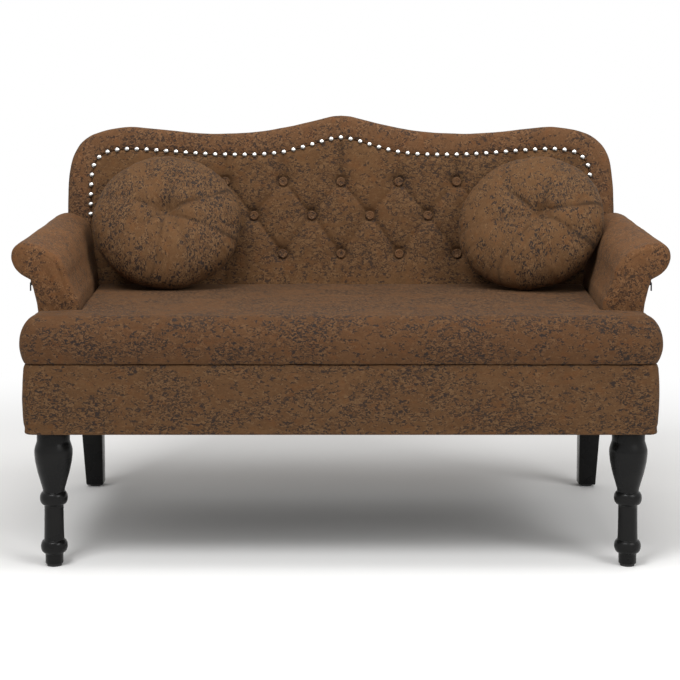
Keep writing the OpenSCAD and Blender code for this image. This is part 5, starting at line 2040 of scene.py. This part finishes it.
    def columns(self, distance: float, pitch: float) -> tuple[np.ndarray, np.ndarray]:
        """Columns of a sheet in the back's shape.

        Args:
            distance: Inset from the outline.
            pitch: Step between two columns.

        Returns:
            Sideways places of the columns and the height of each one's top.
        """
        line = self.inset(distance)
        right = line[(line[:, 0] > -1e-6) & (line[:, 1] >= self.shoulder_z - 40)]
        order = np.argsort(right[:, 0])
        reach, bend = right[:, 0].max(), 420.0
        round_x = bend + (reach - bend) * np.sin(np.radians(np.linspace(0, 90, 18)))
        xs = np.concatenate([np.linspace(0, bend, round(bend / pitch)), round_x[1:]])
        tops = np.interp(xs, right[order, 0], right[order, 1])
        return np.concatenate([-xs[:0:-1], xs]), np.concatenate([tops[:0:-1], tops])

    def tuft_depth(self, x: np.ndarray, z: np.ndarray) -> np.ndarray:
        """Depth of the tufted field below its fullest point.

        Args:
            x: Distance sideways.
            z: Height up the lean.

        Returns:
            Depth at each place.
        """
        row = self.rows_up(z)
        held = np.clip(row, 0, 2)
        u, v = (x / self.half_step + held) / 2, (x / self.half_step - held) / 2
        puff = np.sqrt(np.abs(np.sin(math.pi * u) * np.sin(math.pi * v)))
        beyond = np.maximum(0, np.maximum(-row, row - 2))
        fade = 0.4 + 0.6 * np.clip(1 - 0.6 * beyond, 0, 1)
        away = nearest(x, z, self.tufts())
        dip = self.dip_deep * np.exp(-((away / self.dip_wide) ** 2))
        dip += self.ring_deep * np.exp(-(((away - self.ring_at) / self.ring_wide) ** 2))
        depth = self.puff_deep * (1 - puff) * fade + dip
        return np.minimum(depth + self.fold_deep * self.fold_share(x, z, away), self.tuft_deepest)

    def fold_share(self, x: np.ndarray, z: np.ndarray, away: np.ndarray) -> np.ndarray:
        """Share from 0 to 1 of the folds between the buttons.

        Args:
            x: Distance sideways.
            z: Height up the lean.
            away: Distance to the nearest button.

        Returns:
            Share of a fold at each place.
        """
        row = self.rows_up(z)
        held = np.clip(row, 0, 2)
        wander = self.sheet_noise(x, z, (46, 46, 46), 2, far=900.0) * 4.5
        step = self.half_step
        inside = ease((row + 0.05) / 0.1) * ease((2.05 - row) / 0.1)
        soft = ease((away - 7) / 8) * (0.5 + 0.5 * np.exp(-away / 30))
        total = np.zeros_like(x)
        for sign, strength, width in ((1, 1.0, 3.6), (-1, 0.3, 4.6)):
            share = (x / step + sign * held) / 2
            gap = np.abs((share - np.round(share)) * 1.6 * step + wander * ease(away / 24))
            total = np.maximum(total, strength * np.exp(-gap / width) * inside * soft)
        near_x = np.abs((x / step / 2 - np.round(x / step / 2)) * 2 * step + wander * 0.5)
        wide = np.abs(x) < step * 7
        strength = np.where(np.abs(x) < step, 1.5, 0.55) * np.exp(-near_x / 3.2)
        above = strength * ease((row - 2.12) / 0.25) * np.exp(-np.maximum(0, row - 2) * 0.5)
        below = 0.3 * np.exp(-near_x / 4.5) * ease((-0.1 - row) / 0.3)
        return np.clip(np.maximum(total, np.maximum(above, below) * wide), 0, 1)

    def rim_distance(self, xs: np.ndarray, tops: np.ndarray, z: np.ndarray, half: float) -> np.ndarray:
        """Distance from each place of a sheet to its side or top edge.

        Args:
            xs: Sideways places of the columns.
            tops: Height of each column's top.
            z: Heights of the places, one row of columns after another.
            half: Half the sheet's width.

        Returns:
            One distance for each place.
        """
        steep = np.sqrt(1 + np.clip(np.gradient(tops, xs), -3, 3) ** 2)
        return np.minimum(half - np.abs(xs), (tops - z) / steep)

    def field(self) -> bpy.types.Object:
        """Build the tufted field as a fine sheet with a flat rear.

        Returns:
            The field, with painted shade marked in its folds and round its buttons.
        """
        xs, tops = self.columns(self.field_in, self.field_pitch)
        share = np.linspace(0, 1, self.field_rows)[:, None]
        z = self.field_low + (tops - self.field_low) * share
        x = np.broadcast_to(xs, z.shape)
        rim = self.rim_distance(xs, tops, z, xs[-1])
        slack = self.sheet_noise(x, z, (70, 50, 60), 3) * 1.3
        depth = np.maximum(self.tuft_depth(x, z) + slack + 0.5, 0.25)
        edge = ease(rim / self.edge_wide)
        groove = self.groove_deep * np.exp(-rim / self.groove_wide)
        depth = self.edge_deep * (1 - edge) + depth * edge + groove
        field = self.close_sheet("back_field_tufted", x, z, depth, self.field_rear)
        made = read_points(field.data)
        up = (made[:, 1] - self.back_y) * math.sin(self.lean) + (made[:, 2] - self.deck) * math.cos(self.lean)
        away = nearest(made[:, 0], up, self.tufts())
        # Painted shade: the pleats between the buttons and a dark ring round each button are marked for the
        # cloth to darken.
        share = self.fold_share(made[:, 0], up, away) * 0.75
        ring = np.exp(-(((away - 9.8) / 2.4) ** 2)) * 0.45 + 0.3 * np.exp(-(((away - 12) / 12) ** 2))
        mark_folds(field, np.maximum(share, ring))
        return field

    def close_sheet(
        self, name: str, x: np.ndarray, z: np.ndarray, depth: np.ndarray, behind: float,
    ) -> bpy.types.Object:
        """Make a sheet and close it with edges and a flat face behind it.

        Args:
            name: Name of the piece.
            x: Sideways places, one row after another.
            z: Heights of the same places.
            depth: Depths of the same places.
            behind: Depth of the flat face.

        Returns:
            The closed piece.
        """
        rows, columns = z.shape
        points = self.place(x, depth, z).reshape(-1, 3)
        start = len(points)
        last = start - columns
        rim = [*range(columns), *range(2 * columns - 1, start, columns)]
        rim += [*range(start - 2, last - 1, -1), *range(last - columns, 0, -columns)]
        heights = z.reshape(-1)[rim]
        low = np.maximum(heights, behind * math.tan(self.lean) + 0.2)
        flat = self.place(x.reshape(-1)[rim], behind, np.where(heights <= z.min() + 30, low, heights))
        count = len(rim)
        faces = grid_faces(rows, columns)
        faces += [[rim[i], rim[(i + 1) % count], start + (i + 1) % count, start + i] for i in range(count)]
        return make_piece(name, np.vstack([points, flat]), [*faces, list(range(start, start + count))])

    def outside(self) -> bpy.types.Object:
        """Build the outside back with softly rounded edges.

        Returns:
            The outside back.
        """
        xs, tops = self.columns(0.4, self.rear_pitch)
        share = 1 - (1 - np.linspace(0, 1, self.rear_rows)) ** 1.25
        low = self.rear * math.tan(self.lean) + 0.3
        z = low + (tops - 0.2 - low) * share[:, None]
        x = np.broadcast_to(xs, z.shape)
        rim = self.rim_distance(xs, tops, z, self.half)
        waves = self.sheet_noise(x, z, (160, 50, 120), 3, far=400.0)
        edge = self.rear_round
        rounding = edge - np.sqrt(edge**2 - np.clip(edge - rim, 0, edge) ** 2)
        depth = self.rear - rounding * 0.9 - np.clip(waves + 0.4, 0, 2) * 1.5 * ease(rim / 40)
        return self.close_sheet("outside_back_cloth", x, z, depth, self.rear_inner)

    def nails(self, tree: PathTree, finish: bpy.types.Material) -> bpy.types.Object:
        """Lay the nails along the groove.

        Args:
            tree: Geometry nodes that lay the pieces out.
            finish: Material of the pieces.

        Returns:
            All nails as one piece.
        """
        line = self.nail_line()
        path = make_guide("nail_line", self.place(line[:, 0], self.nail_depth, line[:, 1]), joined=True)
        wide, tall = self.nail_radius, self.nail_height
        dome = [(wide * math.cos(a), tall * math.sin(a)) for a in np.radians((0, 14, 30, 48, 66, 80))]
        head = turned_piece("nail_head", [(4.2, -0.6), (4.55, -0.5), *dome, (0, tall)], 16)
        return tree.lay(
            "back_nails_domed", path, Piece=head, Count=len(self.nail_places()), Lean=-self.lean,
            Hand_Set=0.05, Seed=7, Finish=finish)

    def buttons(self, tree: PathTree, finish: bpy.types.Material) -> bpy.types.Object:
        """Set a covered button on every tuft.

        Args:
            tree: Geometry nodes that lay the pieces out.
            finish: Material of the pieces.

        Returns:
            All buttons as one piece.
        """
        spots = self.tufts()
        places = self.place(spots[:, 0], self.button_depth, spots[:, 1])
        points = make_guide("tuft_points", places, joined=False)
        profile = [
            (7.6, 0.1), (8.8, 0.6), (9.0, 1.8), (8.9, 3.2), (8.4, 4.5), (7.6, 5.3), (6.8, 5.5), (6.0, 5.2),
            (5.2, 4.75), (4.2, 4.8), (3.0, 4.95), (2.0, 4.7), (1.1, 4.1), (0, 3.8),
        ]
        return tree.lay(
            "back_buttons_covered", points, Piece=turned_piece("button", profile, 28), Count=1,
            Lean=-self.lean, Hand_Set=0.06, Seed=5, Finish=finish)

    def build(self, stock: Stock, path_tree: PathTree, point_tree: PathTree) -> None:
        """Build and dress every visible piece of the back.

        Args:
            stock: All materials of the bench.
            path_tree: Geometry nodes for the nails.
            point_tree: Geometry nodes for the buttons.
        """
        for piece, node, finish in (
            (self.border(), "back_border", "border_suede"),
            (self.field(), "back_cover", "back_suede"),
            (self.outside(), "outside_back", "border_suede"),
        ):
            dress(piece, stock[finish])
            seat_piece(piece, BODY, node)
        nails = self.nails(path_tree, stock["bright_nail"])
        seat_piece(nails, BODY, "back_nails")
        buttons = self.buttons(point_tree, stock["button_suede"])
        seat_piece(buttons, BODY, "back_buttons")


# The round cushions


@dataclass(frozen=True)
class Fold:
    """One fold of a round cushion, from its pinched middle to its rim.

    Angles run anticlockwise from the bench's right-hand side, seen from the
    front; bend is the turn of the fold between its middle and its rim.
    """

    angle: float
    depth: float
    rim: float
    sharp: float = 1.5
    bend: float = 0.0
    width: float = 15.0


@dataclass
class RoundCushion:
    """Loose round cushion, pinched in its middle and blown up as cloth."""

    side: str
    turn: float
    folds: tuple[Fold, ...]
    pinch: tuple[float, float] = (0.0, 8.0)
    seed: int = 71
    radius: float = 141.0
    half_thick: float = 52.0
    tilt: float = math.radians(33)
    seat: float = 433.2
    rings: int = 32
    columns: int = 160
    voxel: float = 5.0
    frames: int = 20
    held_middle: float = 11.0
    fullest_rise: float = 9.0
    lobe_rise: float = 3.5
    gather_deep: float = 3.0
    rim_deep: float = 1.8
    wave_deep: float = 2.2
    dimple_deep: float = 2.2

    def solid_swell(self, share: np.ndarray) -> np.ndarray:
        """Half thickness of the solid cushion at a share of the radius."""
        share = np.clip(share, 0, 1)
        return self.half_thick * np.sqrt(1 - share**2.6) * (1 - 0.6 * np.exp(-(share**2) / 0.07))

    def swell(self, share: np.ndarray) -> np.ndarray:
        """Half thickness of the lobes, steeper near the pinch.

        Args:
            share: Share of the radius.

        Returns:
            Half thickness in millimetres.
        """
        share = np.clip(share, 0, 1)
        pinched = 1 - 0.4 * np.exp(-(share**2) / 0.018)
        return (self.half_thick + self.lobe_rise) * np.sqrt(1 - share**2.8) * pinched

    def from_pinch(self, x: np.ndarray, z: np.ndarray) -> tuple[np.ndarray, np.ndarray]:
        """Angle and distance from the pinch, which is off the middle.

        Args:
            x: Sideways place in the cushion's own frame.
            z: Height in the same frame.

        Returns:
            Angle in radians and distance in millimetres.
        """
        near = (1 - np.clip(np.hypot(x, z) / self.radius, 0, 1)) ** 2
        x, z = x - self.pinch[0] * near, z - self.pinch[1] * near
        return np.arctan2(z, x), np.hypot(x, z)

    def fold_depth(self, angle: np.ndarray, radius: np.ndarray, sharp: bool) -> np.ndarray:
        """Depth of all folds at a place of the cushion's face.

        Args:
            angle: Angle in radians.
            radius: Distance from the pinch.
            sharp: Whether the narrow crease at the bottom of each fold is asked for.

        Returns:
            Depth in millimetres.
        """
        total = np.zeros_like(angle)
        share = radius / self.radius
        for fold in self.folds:
            centre = np.radians(fold.angle + fold.bend * (share - 0.4))
            away = np.abs((angle - centre + math.pi) % (2 * math.pi) - math.pi)
            arc = away * np.maximum(radius, 10)
            inner = fold.depth * np.exp(-(((share - 0.3) / 0.3) ** 2))
            outer = fold.rim * ease((share - 0.5) / 0.4)
            if sharp:
                crease = fold.sharp * (0.3 * inner + 0.42 * outer) * np.exp(-((arc / 3.1) ** 1.5))
                total = np.maximum(total, crease)
            else:
                total += (inner + outer) * np.exp(-((arc / (fold.width * (0.5 + share))) ** 2))
        return total

    def lens(self) -> bpy.types.Object:
        """Start shape of the cushion in its own frame, slightly slack.

        Returns:
            The start shape.
        """
        shares = np.sin(np.radians(np.linspace(3, 90, self.rings)))
        angles = full_turn(self.columns)
        rings = []
        for face in (-1, 1):
            for share in shares if face < 0 else shares[-2::-1]:
                fold = self.fold_depth(angles, np.full_like(angles, self.radius * share), sharp=False)
                radius = self.radius * share * (1.0 - 0.0032 * fold * float(ease((share - 0.7) / 0.3)))
                thick = self.swell(np.full_like(angles, share)) * 0.965 - fold * 0.9
                thick = np.maximum(thick, 1.5) if share < 0.995 else np.zeros_like(angles)
                near = (1 - share) ** 2
                x = radius * np.cos(angles) + self.pinch[0] * near
                z = radius * np.sin(angles) + self.pinch[1] * near
                rings.append(np.column_stack([x, face * thick, z]))
        return loft(f"round_cushion_{self.side}", rings)

    def blow_up(self, cushion: bpy.types.Object) -> None:
        """Remesh the cushion and swell it as cloth held at its middle and folds.

        Args:
            cushion: The cushion's start shape; its mesh is changed.
        """
        remesh = cushion.modifiers.new("Even cells", "REMESH")
        remesh.mode, remesh.voxel_size = "VOXEL", self.voxel * MM
        even = evaluated(cushion)
        cushion.modifiers.remove(remesh)
        cushion.data = even
        start = read_points(even)
        angle, radius = self.from_pinch(start[:, 0], start[:, 2])
        hold = np.clip(self.fold_depth(angle, radius, sharp=True) / 1.2, 0, 0.95)
        levels = np.round(np.where(radius < self.held_middle, 1.0, hold), 1)
        group = cushion.vertex_groups.new(name="held")
        for level in np.unique(levels[levels > 0]):
            group.add(np.flatnonzero(levels == level).tolist(), float(level), "REPLACE")
        cloth = cushion.modifiers.new("Blow up", "CLOTH")
        rule = cloth.settings
        rule.quality, rule.mass = 6, 0.3
        rule.tension_stiffness, rule.compression_stiffness = 9, 9
        rule.shear_stiffness, rule.bending_stiffness = 5, 0.25
        rule.use_pressure, rule.uniform_pressure_force = True, 4.0
        rule.vertex_group_mass = "held"
        rule.effector_weights.gravity = 0
        cloth.point_cache.frame_start, cloth.point_cache.frame_end = 1, self.frames
        scene = bpy.context.scene
        for step in range(1, self.frames + 1):
            scene.frame_set(step)
        move = read_points(evaluated(cushion)) - start
        cushion.modifiers.remove(cloth)
        scene.frame_set(1)
        length = np.linalg.norm(move, axis=1, keepdims=True)
        log.info("%s: cloth moved %.1f mm at most", cushion.name, float(length.max()))
        write_points(even, start + move * np.minimum(1, self.fullest_rise / np.maximum(length, 1e-6)))
        cushion.vertex_groups.clear()

    def smooth_out(self, cushion: bpy.types.Object) -> None:
        """Even out the cells and subdivide once.

        Args:
            cushion: The cushion; its mesh is replaced.
        """
        bm = bmesh.new()
        bm.from_mesh(cushion.data)
        for _ in range(3):
            bmesh.ops.smooth_vert(
                bm, verts=bm.verts, factor=0.5, use_axis_x=True, use_axis_y=True, use_axis_z=True)
        bm.to_mesh(cushion.data)
        bm.free()
        finer = cushion.modifiers.new("Finer", "SUBSURF")
        finer.levels = finer.render_levels = 1
        fine = evaluated(cushion)
        cushion.modifiers.remove(finer)
        cushion.data = fine
        set_smooth(fine)

    def fill_out(self, points: np.ndarray) -> np.ndarray:
        """Keep the cushion at least as full as the solid and its rim within reach.

        Args:
            points: Points in the cushion's own frame.

        Returns:
            The points, moved out or in where they have to be.
        """
        share = np.linspace(0, 1, 200)
        height = self.solid_swell(share)
        slope, reach = np.arctan2(height, share * self.radius), np.hypot(height, share * self.radius)
        radius = np.hypot(points[:, 0], points[:, 2])
        here = np.hypot(radius, points[:, 1])
        least = np.interp(np.arctan2(np.abs(points[:, 1]), radius), slope[::-1], reach[::-1]) * 0.985
        points = points * np.maximum(1, least / here)[:, None]
        radius = np.hypot(points[:, 0], points[:, 2])
        arm = -1 if self.side == "left" else 1
        free = ease((-arm * points[:, 0] / np.maximum(radius, 1) - 0.2) / 0.6)
        most = self.radius - 1.0 + 3.0 * free
        points[:, (0, 2)] *= np.minimum(1, most / np.maximum(radius, 1))[:, None]
        return points

    def crease(self, cushion: bpy.types.Object) -> None:
        """Press the sharp creases and small wrinkles into the cloth, and mark painted shade along the creases
        and in the gathers.

        Args:
            cushion: The cushion; its mesh is changed.
        """
        noise = SoftNoise(self.seed)
        points, normals = read_points(cushion.data), read_vectors(cushion.data, "normal")
        angle, radius = self.from_pinch(points[:, 0], points[:, 2])
        face = np.sign(points[:, 1])
        wander = noise.slack(points, (60, 60, 60), 1) * 0.12
        sharp = self.fold_depth(angle + wander, radius, sharp=True)
        radial = np.column_stack([angle * 9, face * 3 + radius / 70, radius / 50])
        gathers = noise.at(radial) * self.gather_deep
        gathers = gathers * np.exp(-(((radius - 24) / 24) ** 2)) * ease(radius / 10)
        around = np.column_stack([angle * 13, radius / 60, face * 2.0])
        rim = noise.at(around) * self.rim_deep * ease((radius - 95) / 35)
        waves = noise.slack(points, (50, 50, 50), 3) * self.wave_deep
        dimple = self.dimple_deep * np.exp(-((radius / 7) ** 2))
        moved = points + normals * (waves + gathers + rim - sharp * 1.25 - dimple)[:, None]
        write_points(cushion.data, self.fill_out(moved))
        # Painted shade: darker along the sharp creases and in the hollows of the gathers.
        dark = sharp / 3.0 * (1 - 0.6 * np.exp(-((radius / 22) ** 2)))
        mark_folds(cushion, dark + np.clip(-gathers, 0, 1) * 0.2)

    def pose(self, points: np.ndarray, back: LeaningBack) -> np.ndarray:
        """Set the cushion down on the seat, leaning on the back.

        Args:
            points: Points in the cushion's own frame.
            back: The back that it leans on.

        Returns:
            Points in the bench's frame, flattened where the cushion rests.
        """
        low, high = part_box(f"cushion_cover_{self.side}")
        middle = [(a + b) / 2 / MM for a, b in zip(low, high)]
        x, y, z = points.T
        c, s = math.cos(self.tilt), math.sin(self.tilt)
        y, z = y * c + z * s, z * c - y * s
        c, s = math.cos(self.turn), math.sin(self.turn)
        placed = np.column_stack([x * c - y * s, x * s + y * c, z]) + middle
        c, s = math.cos(back.lean), math.sin(back.lean)
        behind = (placed[:, 1] - back.back_y) * c - (placed[:, 2] - back.deck) * s
        over = np.maximum(0, behind + 0.7)
        placed[:, 1] -= over * c
        placed[:, 2] = np.maximum(placed[:, 2] + over * s, self.seat)
        return placed

    def build(self, stock: Stock, back: LeaningBack) -> None:
        """Build, blow up, crease and dress the cushion.

        Args:
            stock: All materials of the bench.
            back: The back that the cushion leans on.
        """
        cushion = self.lens()
        self.blow_up(cushion)
        self.smooth_out(cushion)
        self.crease(cushion)
        write_points(cushion.data, self.pose(read_points(cushion.data), back))
        dress(cushion, stock["cushion_suede"])
        seat_piece(cushion, f"cushion_{self.side}", f"cushion_cover_{self.side}")


# Solids that keep their own shape


class SolidParts:
    """Carries the frame's own solids over with their finishes."""

    finishes: dict[str, tuple[str, ...]] = {
        "plywood_long": (
            "seat_front_rail", "seat_back_rail", "seat_deck", "back_crest_board", "back_bottom_board",
            "back_panel",
        ),
        "plywood_deep": (
            "seat_side_rail_left", "seat_side_rail_right", "seat_cross_rail", "arm_batten_left",
            "arm_batten_right",
        ),
        "plywood_upright": (
            "corner_blocks", "arm_board_left", "arm_board_right", "back_side_board_left",
            "back_side_board_right", "back_post_left", "back_post_middle", "back_post_right",
        ),
        "yellow_foam": ("seat_foam", "arm_foam_left", "arm_foam_right", "back_foam"),
        "white_filling": ("cushion_filling_left", "cushion_filling_right"),
        "zinc_steel": (
            "leg_plates", "leg_bolts", "plate_screws", "arm_bolts", "back_brackets", "bracket_bolts",
        ),
        "black_plastic": ("leg_glides",),
        "black_metal": ("zip_slider_left", "zip_slider_right", "zip_pull_left", "zip_pull_right"),
    }
    rounded: dict[str, float] = {
        "leg_glides": 0.8, "leg_plates": 0.5, "back_brackets": 0.5, "corner_blocks": 1.0,
        "zip_slider_left": 0.4, "zip_slider_right": 0.4, "zip_pull_left": 0.35, "zip_pull_right": 0.35,
    }

    def build(self, stock: Stock) -> None:
        """Give every carried solid its material and its rounded edges.

        Args:
            stock: All materials of the bench.
        """
        for finish, nodes in self.finishes.items():
            for node in nodes:
                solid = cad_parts[node]
                solid.data.materials.clear()
                solid.data.materials.append(stock[finish])
                if node in self.rounded:
                    add_bevel(solid, self.rounded[node])
                log.info("%s: solid in %s", node, finish)


# The studio


@dataclass(frozen=True)
class Lamp:
    """One soft area lamp."""

    name: str
    place: tuple[float, float, float]
    size: tuple[float, float]
    power: float
    target: tuple[float, float, float] = (0.0, 0.0, 0.42)

    def build(self) -> None:
        """Add the lamp to the scene and aim it."""
        light = bpy.data.lights.new(self.name, "AREA")
        light.shape, light.energy = "RECTANGLE", self.power
        light.size, light.size_y = self.size
        lamp = add_object(self.name, light)
        lamp.location = self.place
        x, y, z = np.subtract(self.target, self.place)
        lamp.rotation_euler = (math.atan2(math.hypot(x, y), -z), 0, math.atan2(y, x) - math.pi / 2)


@dataclass
class Studio:
    """Pale floor, white surroundings, soft lamps and the camera."""

    lamps: tuple[Lamp, ...] = (
        Lamp("key_lamp", (-1.0, -2.0, 3.0), (1.2, 1.0), 56.0, (0.0, 0.1, 0.5)),
        Lamp("fill_lamp", (1.9, -2.1, 2.1), (1.4, 1.2), 36.0),
        Lamp("top_lamp", (0.2, -0.5, 2.8), (1.6, 0.9), 30.0),
    )
    world_level: float = 0.42
    floor_reach: float = 9.0
    camera_place: tuple[float, float, float] = (0.0, -2.9164, 0.7712)
    camera_tilt: float = math.radians(87)
    lens: float = 84.17
    sensor: float = 36.0
    shift: tuple[float, float] = (-0.00133, -0.2186)

    def camera(self) -> None:
        """Set up the camera of the main view."""
        data = bpy.data.cameras.new("camera")
        data.lens, data.sensor_width = self.lens, self.sensor
        data.shift_x, data.shift_y = self.shift
        data.clip_end = 60.0
        camera = add_object("camera", data)
        camera.location, camera.rotation_euler = self.camera_place, (self.camera_tilt, 0, 0)
        bpy.context.scene.camera = camera

    def empty_tree(self, owner: bpy.types.ID) -> NodeBench:
        """Bench on a material's or a world's own tree, with its nodes cleared.

        Args:
            owner: The material or the world.

        Returns:
            The bench.
        """
        owner.use_nodes = True
        owner.node_tree.nodes.clear()
        return NodeBench(owner.node_tree)

    def mix(self, desk: NodeBench, share: Socket, first: bpy.types.Node, second: bpy.types.Node) -> Socket:
        """Shader mixed from two by a share.

        Args:
            desk: Bench of the tree.
            share: Share of the second shader.
            first: Shader at 0.
            second: Shader at 1.

        Returns:
            The mixed shader.
        """
        node = desk.add("ShaderNodeMixShader")
        for value, socket in zip((share, first.outputs[0], second.outputs[0]), node.inputs):
            desk.join(value, socket)
        return node.outputs[0]

    def seen_directly(self, desk: NodeBench) -> Socket:
        """1 for camera, glossy and transmission rays, else 0.

        Args:
            desk: Bench of the world's tree.

        Returns:
            The value.
        """
        path = desk.add("ShaderNodeLightPath")
        both = desk.maths("MAXIMUM", path.outputs["Is Camera Ray"], path.outputs["Is Glossy Ray"])
        return desk.maths("MAXIMUM", both, path.outputs["Is Transmission Ray"])

    def world(self) -> None:
        """White surroundings for what looks at them, soft light for the rest."""
        world = bpy.data.worlds.new("studio")
        bpy.context.scene.world = world
        desk = self.empty_tree(world)
        light, white = desk.add("ShaderNodeBackground"), desk.add("ShaderNodeBackground")
        desk.feed(light, Color=(1.0, 0.985, 0.965, 1.0), Strength=self.world_level)
        desk.feed(white, Color=(1, 1, 1, 1), Strength=1.0)
        surface = self.mix(desk, self.seen_directly(desk), light, white)
        desk.join(surface, desk.add("ShaderNodeOutputWorld").inputs[0])

    def floor(self) -> None:
        """Pale floor that takes the shadow and fades to white far away."""
        mesh = bpy.data.meshes.new("floor")
        reach = self.floor_reach
        corners = [(-reach, -reach, 0), (reach, -reach, 0), (reach, reach, 0), (-reach, reach, 0)]
        mesh.from_pydata(corners, [], [(0, 1, 2, 3)])
        material = bpy.data.materials.new("pale_floor")
        mesh.materials.append(material)
        desk = self.empty_tree(material)
        where = desk.add("ShaderNodeTexCoord").outputs["Object"]
        length = desk.add("ShaderNodeVectorMath", operation="LENGTH")
        desk.join(where, length.inputs[0])
        far = desk.window(length.outputs["Value"], 0.75, 1.9)
        matt, glow = desk.add("ShaderNodeBsdfDiffuse"), desk.add("ShaderNodeEmission")
        tone = desk.blend(desk.noise(where, 3.0, 2.0), (0.93, 0.93, 0.925, 1), (0.96, 0.96, 0.955, 1))
        desk.feed(matt, Color=tone)
        desk.feed(glow, Color=(1, 1, 1, 1), Strength=1.0)
        path = desk.add("ShaderNodeLightPath")
        share = desk.times(far, path.outputs["Is Camera Ray"])
        surface = self.mix(desk, share, matt, glow)
        desk.join(surface, desk.add("ShaderNodeOutputMaterial").inputs[0])
        add_object("floor", mesh)

    def build(self) -> None:
        """Build the whole studio."""
        bpy.context.scene.view_settings.view_transform = "Standard"
        self.world()
        self.floor()
        for lamp in self.lamps:
            lamp.build()
        self.camera()
        log.info("studio: %d lamps", len(self.lamps))


LEFT_FOLDS = (
    Fold(20, 5.0, 8.5, 1.7, 8, 12), Fold(80, 6.0, 2.0, 0.9), Fold(161, 6.0, 4.0, 1.0),
    Fold(212, 3.0, 1.5, 0.6), Fold(256, 4.0, 4.5, 1.2), Fold(331, 4.0, 9.0, 1.7, 24, 12),
    Fold(115, 2.5, 1.0, 0.6), Fold(292, 2.0, 2.0, 0.7),
)
RIGHT_FOLDS = (
    Fold(10, 6.0, 8.5, 1.8, 9, 12), Fold(62, 4.5, 3.0, 0.9, 10, 12), Fold(141, 7.0, 1.5, 1.1, -40),
    Fold(196, 4.0, 2.0, 0.7), Fold(254, 4.0, 4.5, 1.2), Fold(338, 4.0, 9.0, 1.7, 0, 12),
    Fold(100, 3.0, 1.5, 0.6), Fold(290, 2.0, 2.0, 0.8),
)


def main() -> None:
    """Build the bench piece by piece, then the studio around it."""
    logging.basicConfig(level=logging.INFO, format="%(name)s %(message)s")
    stock = Stock()
    back = LeaningBack()
    path_tree = PathTree("Pieces along a path", along_path=True)
    point_tree = PathTree("Pieces on points", along_path=False)
    SolidParts().build(stock)
    Legs().build(stock)
    SeatBox().build(stock)
    SeatCushion().build(stock)
    Arms().build(stock)
    Zips().build(stock, path_tree)
    back.build(stock, path_tree, point_tree)
    RoundCushion("left", math.radians(6), LEFT_FOLDS, (-2.0, 2.0), seed=71).build(stock, back)
    RoundCushion("right", math.radians(-22), RIGHT_FOLDS, (36.0, -4.0), seed=83).build(stock, back)
    Studio().build()


if __name__ == "__main__":
    main()
